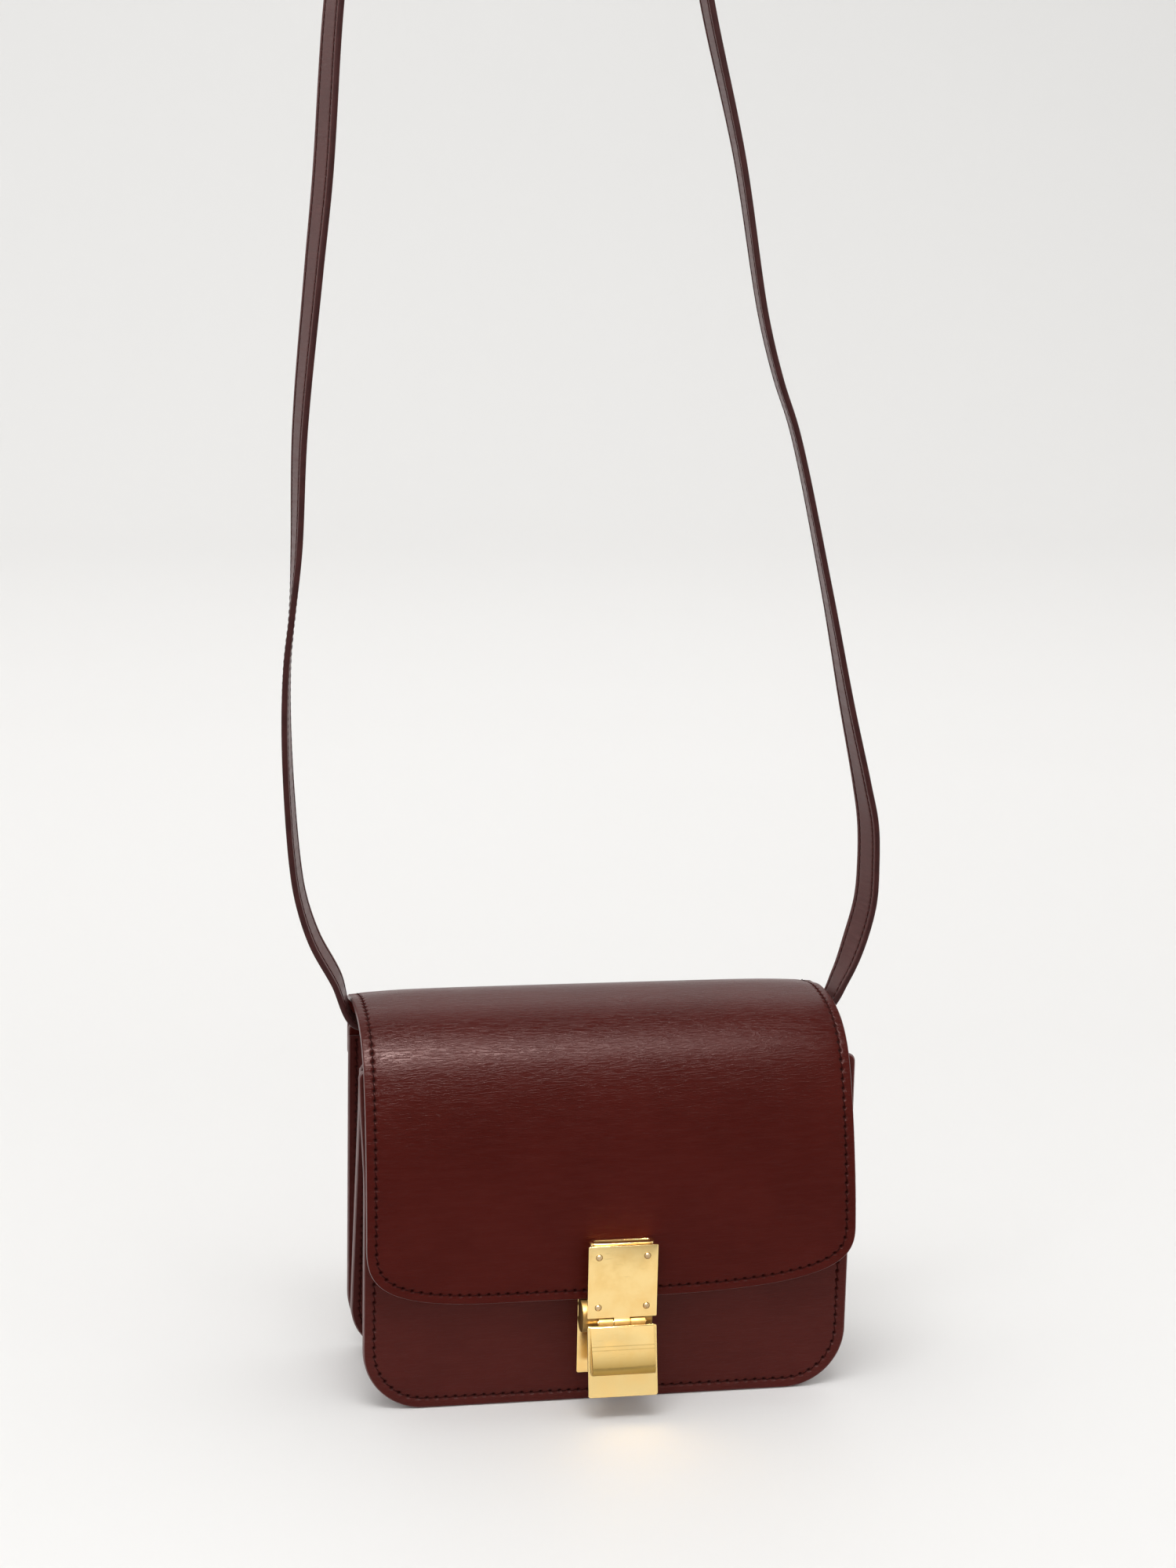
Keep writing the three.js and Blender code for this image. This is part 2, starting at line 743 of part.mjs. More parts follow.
// The strap's highest inner point is the origin
const strapTop = strapRows.reduce((best, row) => (row.rise > best.rise ? row : best));
bag.position.set(
  -strapTop.reach * halfWidth,
  -strapBack,
  -(strapBase + strapTop.rise * strapDrop - strapWall / 2),
);

const part = new THREE.Group();
part.add(bag);

export default part;
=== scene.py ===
# Small box bag in burgundy calf with a brass clasp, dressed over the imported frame.
# Leather is cut flat in millimetres and then bent into place, as on a workbench.
import math

import bmesh
import bpy
import numpy as np
from mathutils import Matrix, Vector
from mathutils.geometry import delaunay_2d_cdt


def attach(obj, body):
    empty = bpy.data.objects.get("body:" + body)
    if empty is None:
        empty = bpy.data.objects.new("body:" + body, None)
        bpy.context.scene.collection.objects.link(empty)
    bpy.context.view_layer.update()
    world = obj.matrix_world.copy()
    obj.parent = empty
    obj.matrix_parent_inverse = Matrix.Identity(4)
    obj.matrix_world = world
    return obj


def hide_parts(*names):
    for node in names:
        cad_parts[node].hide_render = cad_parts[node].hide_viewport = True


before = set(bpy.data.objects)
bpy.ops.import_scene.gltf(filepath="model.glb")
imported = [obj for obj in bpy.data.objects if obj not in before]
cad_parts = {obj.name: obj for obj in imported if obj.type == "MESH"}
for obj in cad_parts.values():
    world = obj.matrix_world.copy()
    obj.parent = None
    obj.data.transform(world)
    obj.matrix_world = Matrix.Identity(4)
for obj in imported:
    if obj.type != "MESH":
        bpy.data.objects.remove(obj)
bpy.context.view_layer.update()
print("frame loaded")

bagFoot = np.array([32.4, -48.5, -631.75])  # the front panel's foot, from the hanging point, mm
millimetre = 0.001
bag = {
    "width": 180.0, "depth": 61.5,
    "backHeight": 129.6, "midHeight": 127.5, "frontHeight": 127.5,
    "bottomCorner": 22.6, "topCorner": 3.0, "panelWall": 2.4,
    "topLean": 6.0, "topFlare": 1.5, "bendShare": 0.62,
    "midTop": 14.6, "midBottom": 51.1,
}


# Numbers and paths

def mixed(a, b, share):
    return a + (b - a) * share


def eased(value):
    value = np.clip(value, 0, 1)
    return value * value * (3 - 2 * value)


def unit(vectors):
    return vectors / np.maximum(1e-12, np.linalg.norm(vectors, axis=-1, keepdims=True))


# A round dip: full where the distances are nothing, gone at about three widths
def dip(width, *distances):
    return np.exp(-sum(distance ** 2 for distance in distances) / (2 * width ** 2))


# A smooth curve through chosen points, evener where they lie close together
def curveThrough(points, steps):
    points = np.asarray(points, float)
    ends = np.vstack([2 * points[0] - points[1], points, 2 * points[-1] - points[-2]])
    share = np.linspace(0, 1, steps, endpoint=False)[:, None]
    spans = []
    for i in range(len(points) - 1):
        p0, p1, p2, p3 = ends[i:i + 4]
        d0, d1, d2 = [max(1e-4, np.linalg.norm(b - a) ** 0.5) for a, b in ((p0, p1), (p1, p2), (p2, p3))]
        t1 = ((p1 - p0) / d0 - (p2 - p0) / (d0 + d1) + (p2 - p1) / d1) * d1
        t2 = ((p2 - p1) / d1 - (p3 - p1) / (d1 + d2) + (p3 - p2) / d2) * d1
        spans.append(p1 + t1 * share + (3 * (p2 - p1) - 2 * t1 - t2) * share ** 2
                     + (2 * (p1 - p2) + t1 + t2) * share ** 3)
    return np.vstack(spans + [points[-1:]])


def runLength(points, closed=False):
    full = np.vstack([points, points[:1]]) if closed else points
    return np.concatenate([[0], np.cumsum(np.linalg.norm(np.diff(full, axis=0), axis=1))])


def pickAt(points, run, at):
    return np.stack([np.interp(at, run, points[:, k]) for k in range(points.shape[1])], 1)


def spaced(points, spacing):
    run = runLength(points)
    count = max(3, int(round(run[-1] / spacing)))
    return pickAt(points, run, np.linspace(0, run[-1], count + 1))


def arc(centreX, centreZ, radius, start, end, steps=24):
    turn = np.radians(np.linspace(start, end, steps))
    return np.stack([centreX + radius * np.cos(turn), centreZ + radius * np.sin(turn)], 1)


def toFrame(points):
    return (np.asarray(points, float) + bagFoot) * millimetre


# Objects from arrays

def placed(name, data):
    piece = bpy.data.objects.new(name, data)
    bpy.context.scene.collection.objects.link(piece)
    return piece


def makeObject(name, points, faces, materials, faceSlots=None, uv=None, needle=None):
    mesh = bpy.data.meshes.new(name)
    mesh.from_pydata(points.tolist(), [], faces)
    for material in materials:
        mesh.materials.append(material)
    if faceSlots is not None:
        mesh.polygons.foreach_set("material_index", np.asarray(faceSlots, np.int32))
    if uv is not None:
        layer = mesh.uv_layers.new(name="pattern")
        corners = np.empty(len(mesh.loops), np.int32)
        mesh.loops.foreach_get("vertex_index", corners)
        layer.data.foreach_set("uv", np.asarray(uv, np.float32)[corners].ravel())
    if needle is not None:
        mesh.attributes.new("needle", "FLOAT", "POINT").data.foreach_set("value", np.asarray(needle, np.float32))
    work = bmesh.new()
    work.from_mesh(mesh)
    bmesh.ops.recalc_face_normals(work, faces=work.faces)
    work.to_mesh(mesh)
    work.free()
    mesh.polygons.foreach_set("use_smooth", np.ones(len(mesh.polygons), bool))
    mesh.update()
    return placed(name, mesh)


def ringFaces(rings, count):
    r, c = np.meshgrid(np.arange(rings - 1), np.arange(count), indexing="ij")
    a, b = r * count + c, r * count + (c + 1) % count
    return np.stack([a, b, b + count, a + count], -1).reshape(-1, 4).tolist()


def capFaces(rings, count):
    return [list(range(count))[::-1], [(rings - 1) * count + i for i in range(count)]]


def loft(name, rings, materials):
    rings = np.asarray(rings, float)
    count = rings.shape[1]
    faces = ringFaces(len(rings), count) + capFaces(len(rings), count)
    return makeObject(name, toFrame(rings.reshape(-1, 3)), faces, materials)


def joined(name, pieces):
    work = bmesh.new()
    worn = []
    for piece in pieces:
        before = len(work.faces)
        work.from_mesh(piece.data)
        work.faces.ensure_lookup_table()
        own = list(piece.data.materials)
        worn += [material for material in own if material not in worn]
        for face in work.faces[before:]:
            face.material_index = worn.index(own[min(face.material_index, len(own) - 1)])
    mesh = bpy.data.meshes.new(name)
    work.to_mesh(mesh)
    work.free()
    for material in worn:
        mesh.materials.append(material)
    for piece in pieces:
        bpy.data.objects.remove(piece)
    return placed(name, mesh)


def rideAs(piece, body, slot, *nodes):
    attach(piece, body)
    if nodes:
        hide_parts(*nodes)


# Nodes

def feedAll(tree, node, feeds):
    for label, value in feeds.items():
        socket = node.inputs[label]
        if isinstance(value, bpy.types.NodeSocket):
            tree.links.new(value, socket)
        elif socket.type == "RGBA":
            socket.default_value = (*value, 1.0)
        else:
            socket.default_value = value


def addNode(tree, kind, feeds=None, **settings):
    node = tree.nodes.new(kind)
    for label, value in settings.items():
        setattr(node, label, value)
    feedAll(tree, node, feeds or {})
    return node


def mathNode(tree, operation, *values, clamp=False):
    return addNode(tree, "ShaderNodeMath", dict(enumerate(values)), operation=operation, use_clamp=clamp).outputs[0]


def scaledNoise(tree, vector, scale, detail, roughness=0.5, distortion=0.0, stretch=(1, 1, 1)):
    mapping = addNode(tree, "ShaderNodeMapping", {"Vector": vector, "Scale": stretch})
    return addNode(tree, "ShaderNodeTexNoise", {
        "Vector": mapping.outputs[0], "Scale": scale, "Detail": detail, "Roughness": roughness,
        "Distortion": distortion,
    }).outputs[0]


def ramp(tree, value, low, high):
    return addNode(tree, "ShaderNodeMapRange", {"Value": value, "From Min": low, "From Max": high},
                   interpolation_type="SMOOTHSTEP").outputs[0]


def colourMix(tree, share, first, second):
    return addNode(tree, "ShaderNodeMix", {0: share, 6: first, 7: second}, data_type="RGBA").outputs[2]


def bumped(tree, height, strength, depth):
    return addNode(tree, "ShaderNodeBump", {"Strength": strength, "Distance": depth, "Height": height}).outputs[0]


def newGroup(name, inputs, outputs):
    group = bpy.data.node_groups.new(name, "ShaderNodeTree")
    for label, kind, value in inputs:
        socket = group.interface.new_socket(label, in_out="INPUT", socket_type=kind)
        if value is not None:
            socket.default_value = value
    for label in outputs:
        group.interface.new_socket(label, in_out="OUTPUT", socket_type="NodeSocketFloat")
    return group, group.nodes.new("NodeGroupInput").outputs, group.nodes.new("NodeGroupOutput")


def newMaterial(name):
    material = bpy.data.materials.new(name)
    material.use_nodes = True
    tree = material.node_tree
    return material, tree, tree.nodes["Principled BSDF"], tree.nodes.new("ShaderNodeTexCoord").outputs


# Box calf: long shallow creases across the hide, fine pores between them, cloudy dye

hide = {
    "creaseScale": 230.0, "creaseStretch": (1, 6.5, 1), "creaseEdges": (0.3, 0.72), "creasePower": 1.6,
    "poreScale": 2300.0, "poreStretch": (1, 1.6, 1), "poreDepth": 0.22,
    "cloudScale": 22.0, "cloudEdges": (0.3, 0.7),
    "wearScale": 150.0, "wearStretch": (0.5, 3.0, 1), "wearEdges": (0.35, 0.75),
    "shine": (1.0, 0.72, 0.68),
}


def makeCalfGroup():
    group, given, result = newGroup(
        "calfGrain",
        [("Vector", "NodeSocketVector", None), ("Crease", "NodeSocketFloat", 1.0), ("Pores", "NodeSocketFloat", 1.0)],
        ["Height", "Cloud", "Wear"],
    )
    vector = given["Vector"]
    creases = scaledNoise(group, vector, hide["creaseScale"], detail=4.0, roughness=0.6, distortion=1.0,
                          stretch=hide["creaseStretch"])
    pores = scaledNoise(group, vector, hide["poreScale"], detail=2.0, roughness=0.6, stretch=hide["poreStretch"])
    clouds = scaledNoise(group, vector, hide["cloudScale"], detail=4.0, roughness=0.6)
    wear = scaledNoise(group, vector, hide["wearScale"], detail=3.0, roughness=0.6, stretch=hide["wearStretch"])
    sharp = mathNode(group, "POWER", ramp(group, creases, *hide["creaseEdges"]), hide["creasePower"])
    tall = mathNode(group, "MULTIPLY", sharp, given["Crease"])
    fine = mathNode(group, "MULTIPLY", pores, mathNode(group, "MULTIPLY", given["Pores"], hide["poreDepth"]))
    feedAll(group, result, {
        "Height": mathNode(group, "ADD", tall, fine),
        "Cloud": ramp(group, clouds, *hide["cloudEdges"]), "Wear": ramp(group, wear, *hide["wearEdges"]),
    })
    return group


calfGroup = makeCalfGroup()


def makeCalf(name, look):
    material, tree, shader, place = newMaterial(name)
    grain = addNode(tree, "ShaderNodeGroup", node_tree=calfGroup)
    feedAll(tree, grain, {"Vector": place["UV"], "Crease": look["crease"], "Pores": look["pores"]})
    wear = grain.outputs["Wear"]
    dye = colourMix(tree, grain.outputs["Cloud"], look["dark"], look["light"])
    worn = colourMix(tree, mathNode(tree, "MULTIPLY", wear, look["wear"]), dye, look["worn"])
    holes = addNode(tree, "ShaderNodeAttribute", attribute_name="needle").outputs["Fac"]
    rough = mathNode(tree, "MULTIPLY_ADD", wear, look["roughSpread"], look["rough"])
    # round a needle hole the leather is torn and dull
    torn = mathNode(tree, "MULTIPLY", ramp(tree, holes, 0.0, look["tornEdge"]), look["tornRough"])
    # the needle holes are painted near black: painted shade inside the holes
    feedAll(tree, shader, {
        "Base Color": colourMix(tree, holes, worn, look["hole"]),
        "Roughness": mathNode(tree, "ADD", rough, torn, clamp=True),
        "Normal": bumped(tree, grain.outputs["Height"], look["bump"], look["bumpDepth"]),
        "Specular IOR Level": look["specular"], "Specular Tint": hide["shine"],
    })
    return material


boxLook = {
    "dark": (0.057, 0.0042, 0.0023), "light": (0.069, 0.0060, 0.0037), "worn": (0.088, 0.013, 0.0095),
    "hole": (0.006, 0.0012, 0.001), "wear": 0.2, "rough": 0.28, "roughSpread": 0.07, "crease": 1.0, "pores": 1.0,
    "bump": 0.6, "bumpDepth": 0.00011, "specular": 0.11, "tornEdge": 0.3, "tornRough": 0.7,
}
boxCalf = makeCalf("boxCalf", boxLook)
frontCalf = makeCalf("frontCalf", {**boxLook, "specular": 0.22, "rough": 0.33})
bellowsCalf = makeCalf("bellowsCalf", {
    "dark": (0.060, 0.0095, 0.008), "light": (0.076, 0.0135, 0.0115), "worn": (0.095, 0.022, 0.018),
    "hole": (0.006, 0.0015, 0.0013), "wear": 0.3, "rough": 0.42, "roughSpread": 0.1, "crease": 0.8, "pores": 1.4,
    "bump": 0.4, "bumpDepth": 0.00012, "specular": 0.14, "tornEdge": 0.3, "tornRough": 0.6,
})
strapCalf = makeCalf("strapCalf", {
    "dark": (0.052, 0.0085, 0.0080), "light": (0.068, 0.0135, 0.0125), "worn": (0.1, 0.034, 0.032),
    "hole": (0.006, 0.0015, 0.0013), "wear": 0.4, "rough": 0.34, "roughSpread": 0.1, "crease": 0.6, "pores": 1.2,
    "bump": 0.35, "bumpDepth": 0.0001, "specular": 0.42, "tornEdge": 0.3, "tornRough": 0.6,
})


# Edge paint and thread are plain dyes with a slight unevenness
def makeDye(name, look):
    material, tree, shader, place = newMaterial(name)
    clouds = scaledNoise(tree, place["Object"], look["scale"], detail=3.0)
    fine = scaledNoise(tree, place["Object"], look["scale"] * look["fineShare"], detail=2.0)
    feedAll(tree, shader, {
        "Base Color": colourMix(tree, ramp(tree, clouds, *look["cloudEdges"]), look["dark"], look["light"]),
        "Roughness": mathNode(tree, "MULTIPLY_ADD", clouds, look["roughSpread"], look["rough"]),
        "Normal": bumped(tree, fine, look["bump"], look["bumpDepth"]),
        "Specular IOR Level": look["specular"],
    })
    return material


dyeLook = {
    "scale": 160.0, "fineShare": 6, "cloudEdges": (0.3, 0.7), "roughSpread": 0.12, "bump": 0.3, "bumpDepth": 0.00006,
}
edgePaint = makeDye("edgePaint", {
    **dyeLook, "dark": (0.12, 0.052, 0.050), "light": (0.165, 0.08, 0.076), "rough": 0.28, "specular": 0.6,
})
strapEdge = makeDye("strapEdge", {
    **dyeLook, "dark": (0.034, 0.0045, 0.004), "light": (0.05, 0.008, 0.007), "rough": 0.4, "specular": 0.2,
})
thread = makeDye("thread", {
    **dyeLook, "dark": (0.022, 0.0026, 0.002), "light": (0.042, 0.0055, 0.004), "scale": 900.0,
    "rough": 0.8, "bumpDepth": 0.00005, "specular": 0.04,
})


# Plated brass: fine straight scratches, a faint haze and small dents

plating = {
    "hazeScale": 140.0, "hazeEdges": (0.35, 0.75), "dentScale": 420.0, "dentDepth": 0.4,
    "scratchScale": 160.0, "scratchStretch": (1, 1, 14), "scratchEdges": (0.66, 0.74),
    "scratchDull": 0.35, "bumpDepth": 0.00003, "paperDull": 0.65, "paperRough": 0.5,
}


def makeBrassGroup():
    group, given, result = newGroup(
        "platingWear",
        [("Vector", "NodeSocketVector", None), ("Scratches", "NodeSocketFloat", 1.0)],
        ["Height", "Haze", "Scratch"],
    )
    vector = given["Vector"]
    dimming = scaledNoise(group, vector, plating["hazeScale"], detail=4.0, roughness=0.6)
    lines = scaledNoise(group, vector, plating["scratchScale"], detail=2.0, stretch=plating["scratchStretch"])
    bumps = scaledNoise(group, vector, plating["dentScale"], detail=2.0)
    dents = mathNode(group, "MULTIPLY", bumps, plating["dentDepth"])
    scratch = mathNode(group, "MULTIPLY", ramp(group, lines, *plating["scratchEdges"]), given["Scratches"])
    feedAll(group, result, {
        "Height": mathNode(group, "SUBTRACT", dents, scratch),
        "Haze": ramp(group, dimming, *plating["hazeEdges"]), "Scratch": scratch,
    })
    return group


brassGroup = makeBrassGroup()


def makeBrass(name, look):
    material, tree, shader, place = newMaterial(name)
    wear = addNode(tree, "ShaderNodeGroup", node_tree=brassGroup)
    feedAll(tree, wear, {"Vector": place["Object"], "Scratches": look["scratches"]})
    dimming, scratch, height = [wear.outputs[label] for label in ("Haze", "Scratch", "Height")]
    tint = colourMix(tree, dimming, look["bright"], look["deep"])
    marked = colourMix(tree, mathNode(tree, "MULTIPLY", scratch, plating["scratchDull"]), tint, look["dull"])
    # the hood's mark paints shade darkening towards its lip, and its worn lines, mixing towards the olive shade colour
    paintedShadeAndWear = addNode(tree, "ShaderNodeAttribute", attribute_name="paintedShadeAndWearMark").outputs["Fac"]
    withPaintedShadeAndWear = colourMix(tree, paintedShadeAndWear, marked, look["shadeOlive"])
    # what the paper catches from the metal is only a faint warm patch
    onPaper = tree.nodes.new("ShaderNodeLightPath").outputs["Is Diffuse Ray"]
    duller = mathNode(tree, "MULTIPLY", onPaper, plating["paperDull"])
    rougher = mathNode(tree, "MULTIPLY", onPaper, plating["paperRough"])
    rough = mathNode(tree, "MULTIPLY_ADD", dimming, look["roughSpread"], look["rough"])
    feedAll(tree, shader, {
        "Base Color": colourMix(tree, duller, withPaintedShadeAndWear, look["shadeOlive"]),
        "Roughness": mathNode(tree, "ADD", rough, rougher),
        "Normal": bumped(tree, height, look["bump"], plating["bumpDepth"]), "Metallic": 1.0,
    })
    return material


paleBrass = makeBrass("paleBrass", {
    "bright": (1.0, 0.735, 0.32), "deep": (0.97, 0.66, 0.255), "dull": (0.62, 0.38, 0.14),
    "shadeOlive": (0.33, 0.2, 0.035), "rough": 0.15, "roughSpread": 0.08, "scratches": 0.6, "bump": 0.25,
})
# A darker, rougher copy of the brass for the hinge knuckles: painted shade that also dulls their glints
paintedShadeKnuckleBrass = makeBrass("paintedShadeKnuckleBrass", {
    "bright": (0.66, 0.41, 0.14), "deep": (0.52, 0.3, 0.09), "dull": (0.35, 0.2, 0.06),
    "shadeOlive": (0.33, 0.2, 0.035), "rough": 0.52, "roughSpread": 0.1, "scratches": 0.2, "bump": 0.1,
})
rivetBrass = makeBrass("rivetBrass", {
    "bright": (0.62, 0.46, 0.27), "deep": (0.46, 0.32, 0.17), "dull": (0.35, 0.26, 0.15),
    "shadeOlive": (0.33, 0.2, 0.035), "rough": 0.34, "roughSpread": 0.06, "scratches": 0.2, "bump": 0.1,
})
# A dark copy of the brass for the tube's slot, the rivet seats and the catch's barrel: painted shade
paintedShadeBrass = makeBrass("paintedShadeBrass", {
    "bright": (0.34, 0.21, 0.07), "deep": (0.24, 0.14, 0.045), "dull": (0.15, 0.08, 0.03),
    "shadeOlive": (0.2, 0.12, 0.04), "rough": 0.4, "roughSpread": 0.1, "scratches": 0.0, "bump": 0.1,
})
print("materials made")


# Stitches and rivets: a shaped ball laid on each point, made real and given its material

def newTree(name, sizes, finish):
    tree = bpy.data.node_groups.new(name, "GeometryNodeTree")
    tree.interface.new_socket("Geometry", in_out="INPUT", socket_type="NodeSocketGeometry")
    for label, kind, value in sizes:
        tree.interface.new_socket(label, in_out="INPUT", socket_type=kind).default_value = value
    tree.interface.new_socket(finish, in_out="INPUT", socket_type="NodeSocketMaterial")
    tree.interface.new_socket("Geometry", in_out="OUTPUT", socket_type="NodeSocketGeometry")
    return tree, tree.nodes.new("NodeGroupInput").outputs


def layBalls(tree, points, ball, size, material, turned=None):
    segments, rings = ball
    sphere = addNode(tree, "GeometryNodeMeshUVSphere", {"Segments": segments, "Rings": rings, "Radius": 1.0})
    scale = addNode(tree, "ShaderNodeCombineXYZ", dict(enumerate(size)))
    shaped = addNode(tree, "GeometryNodeTransform", {"Geometry": sphere.outputs["Mesh"], "Scale": scale.outputs[0]})
    laid = addNode(tree, "GeometryNodeInstanceOnPoints", {"Points": points, "Instance": shaped.outputs[0]})
    if turned is not None:
        feedAll(tree, laid, {"Rotation": turned})
    real = addNode(tree, "GeometryNodeRealizeInstances", {0: laid.outputs[0]})
    smooth = addNode(tree, "GeometryNodeSetShadeSmooth", {0: real.outputs[0]})
    dressed = addNode(tree, "GeometryNodeSetMaterial", {"Geometry": smooth.outputs[0], "Material": material})
    addNode(tree, "NodeGroupOutput", {0: dressed.outputs[0]})


# Each stitch is an oval of thread between two holes, leaning a little across the seam
def makeStitchTree():
    tree, given = newTree("stitchesAlongSeam", [
        ("Count", "NodeSocketInt", 10), ("Stitch Length", "NodeSocketFloat", 0.0025),
        ("Thread Radius", "NodeSocketFloat", 0.0003), ("Slant", "NodeSocketFloat", 0.12),
    ], "Thread")
    line = addNode(tree, "GeometryNodeMeshToCurve", {0: given["Geometry"]})
    evenly = addNode(tree, "GeometryNodeResampleCurve", {"Curve": line.outputs[0], "Count": given["Count"]})
    outward = addNode(tree, "GeometryNodeInputNamedAttribute", {"Name": "outward"}, data_type="FLOAT_VECTOR")
    tangent = tree.nodes.new("GeometryNodeInputTangent")
    along = addNode(tree, "FunctionNodeAlignRotationToVector", {"Vector": tangent.outputs[0]}, axis="Z")
    upright = addNode(tree, "FunctionNodeAlignRotationToVector", {
        "Rotation": along.outputs[0], "Vector": outward.outputs["Attribute"],
    }, axis="X", pivot_axis="Z")
    lean = addNode(tree, "ShaderNodeCombineXYZ", {0: given["Slant"]})
    turned = addNode(tree, "FunctionNodeRotateRotation", {0: upright.outputs[0], 1: lean.outputs[0]},
                     rotation_space="LOCAL")
    halfLength = mathNode(tree, "MULTIPLY", given["Stitch Length"], 0.5)
    layBalls(tree, evenly.outputs[0], (6, 5), (given["Thread Radius"], given["Thread Radius"], halfLength),
             given["Thread"], turned.outputs[0])
    return tree


def makeRivetTree():
    tree, given = newTree("rivetHeads", [
        ("Head Radius", "NodeSocketFloat", 0.001), ("Dome Height", "NodeSocketFloat", 0.0006),
    ], "Metal")
    layBalls(tree, given["Geometry"], (28, 16), (given["Head Radius"], given["Dome Height"], given["Head Radius"]),
             given["Metal"])
    return tree


# Runs a tree over a line or over loose points and keeps the plain mesh that comes out
def grown(name, tree, values, points, edges=(), outward=None):
    mesh = bpy.data.meshes.new(name + "Line")
    mesh.from_pydata(toFrame(points).tolist(), list(edges), [])
    if outward is not None:
        facing = mesh.attributes.new("outward", "FLOAT_VECTOR", "POINT")
        facing.data.foreach_set("vector", outward.astype(np.float32).ravel())
    holder = placed(name + "Line", mesh)
    modifier = holder.modifiers.new("grown", "NODES")
    modifier.node_group = tree
    for item in tree.interface.items_tree:
        if item.item_type == "SOCKET" and item.in_out == "INPUT" and item.name in values:
            modifier[item.identifier] = values[item.name]
    bpy.context.view_layer.update()
    evaluated = holder.evaluated_get(bpy.context.evaluated_depsgraph_get())
    result = placed(name, bpy.data.meshes.new_from_object(evaluated))
    bpy.data.objects.remove(holder)
    return result


# A seam holds its thread line, its outward directions and how many stitches it takes
class Seam:
    def __init__(self, points, outward, pitch, closed):
        self.points, self.outward, self.closed = points, unit(outward), closed
        self.run = runLength(points, closed)
        self.count = int(round(self.run[-1] / pitch))
        self.pitch = self.run[-1] / self.count

    # How far each point of the line is from the nearest needle hole
    def fromHole(self):
        at = self.run[:len(self.points)] / self.pitch
        return (at - np.round(at)) * self.pitch


stitchTree = makeStitchTree()


def sewSeams(name, seams, sew):
    sewn = []
    for seam in seams:
        points = np.vstack([seam.points, seam.points[:1]]) if seam.closed else seam.points
        outward = np.vstack([seam.outward, seam.outward[:1]]) if seam.closed else seam.outward
        half = seam.pitch / 2
        at = np.linspace(half, seam.run[-1] - half, max(2, len(points)))
        facing = unit(pickAt(outward, seam.run, at))
        line = pickAt(points, seam.run, at) + facing * sew["lift"]
        values = {
            "Count": seam.count, "Stitch Length": seam.pitch * sew["lengthShare"] * millimetre,
            "Thread Radius": sew["threadRadius"] * millimetre, "Slant": sew["slant"], "Thread": thread,
        }
        edges = [(i, i + 1) for i in range(len(line) - 1)]
        sewn.append(grown(name + "Part", stitchTree, values, line, edges, facing))
    return joined(name, sewn)


# Leather cut from an outline: painted round edges, a seam line pressed in, needle holes

panelCut = {
    "wall": 2.4, "edgeRadius": 1.1, "edgeTurns": (0, 18, 36, 54, 72, 90), "deepInset": 6.3, "fillStep": 4.0,
    "seamInset": 3.9, "seamSides": (1,), "pitch": 3.5, "spacing": 0.5, "groove": 0.1, "grooveWidth": 0.55,
    "holeDepth": 0.9, "holeRadius": 0.42, "markRadius": 0.4, "pucker": 0.1, "puckerRadius": 1.2,
    "besideSeam": (-1.5, -1.0, -0.7, -0.45, -0.2, 0, 0.2, 0.45, 0.7, 1.0, 1.5, 2.3),
    "leastStep": 0.12, "flatStart": 0.35,
}
insetStep, slides, farAway = 0.1, 14, 9.0


def insetLoops(outline, insets):
    loops, now, loop = [], 0.0, outline.copy()
    for inset in insets:
        while now < inset - 1e-9:
            move = min(insetStep, inset - now)
            ahead = np.roll(loop, -1, 0) - np.roll(loop, 1, 0)
            loop = loop + unit(np.stack([-ahead[:, 1], ahead[:, 0]], 1)) * move
            loop = mixed(loop, (np.roll(loop, -1, 0) + np.roll(loop, 1, 0)) / 2, 0.5)
            for _ in range(slides):  # slide the points apart along the edge where a corner bunches them
                ahead = unit(np.roll(loop, -1, 0) - np.roll(loop, 1, 0))
                pull = (np.roll(loop, -1, 0) + np.roll(loop, 1, 0)) / 2 - loop
                loop = loop + ahead * (pull * ahead).sum(1, keepdims=True) * 0.5
            now += move
        loops.append(loop.copy())
    return np.array(loops)


def fillInside(loop, step):
    low, high = loop.min(0), loop.max(0)
    xs, zs = [np.linspace(low[k], high[k], max(3, int((high[k] - low[k]) / step))) for k in (0, 1)]
    grid = np.array([(x, z) for z in zs for x in xs])
    sparse = loop[::max(1, len(loop) // 400)]
    near = np.array([np.min(np.hypot(*(sparse - p).T)) for p in grid])
    inside = np.zeros(len(grid), bool)
    for (x0, z0), (x1, z1) in zip(loop, np.roll(loop, -1, 0)):
        crosses = (z0 > grid[:, 1]) != (z1 > grid[:, 1])
        if crosses.any():
            where = x0 + (grid[:, 1] - z0) / (z1 - z0 + 1e-12) * (x1 - x0)
            inside ^= crosses & (grid[:, 0] < where)
    grid = grid[inside & (near > step * 0.55)]
    points = [Vector(p) for p in np.vstack([loop, grid])]
    edges = [(i, (i + 1) % len(loop)) for i in range(len(loop))]
    _, _, faces, origins, _, _ = delaunay_2d_cdt(points, edges, [], 1, 1e-6)
    index = [o[0] for o in origins]
    return grid, [[index[v] for v in face] for face in faces]


# How far in each loop lies and how far out of the middle it stands, from the edge inwards
def loopSteps(cut):
    half, radius = cut["wall"] / 2, cut["edgeRadius"]
    turn = np.radians(cut["edgeTurns"])
    insets = list(radius * (1 - np.cos(turn)))
    heights = list(half - radius + radius * np.sin(turn))
    around = cut["besideSeam"] if cut["seamSides"] else ()
    for inset in sorted([cut["seamInset"] + s for s in around] + [radius + cut["flatStart"], cut["deepInset"]]):
        if inset > insets[-1] + cut["leastStep"]:
            insets.append(inset)
            heights.append(half)
    return np.array(insets), np.array(heights)


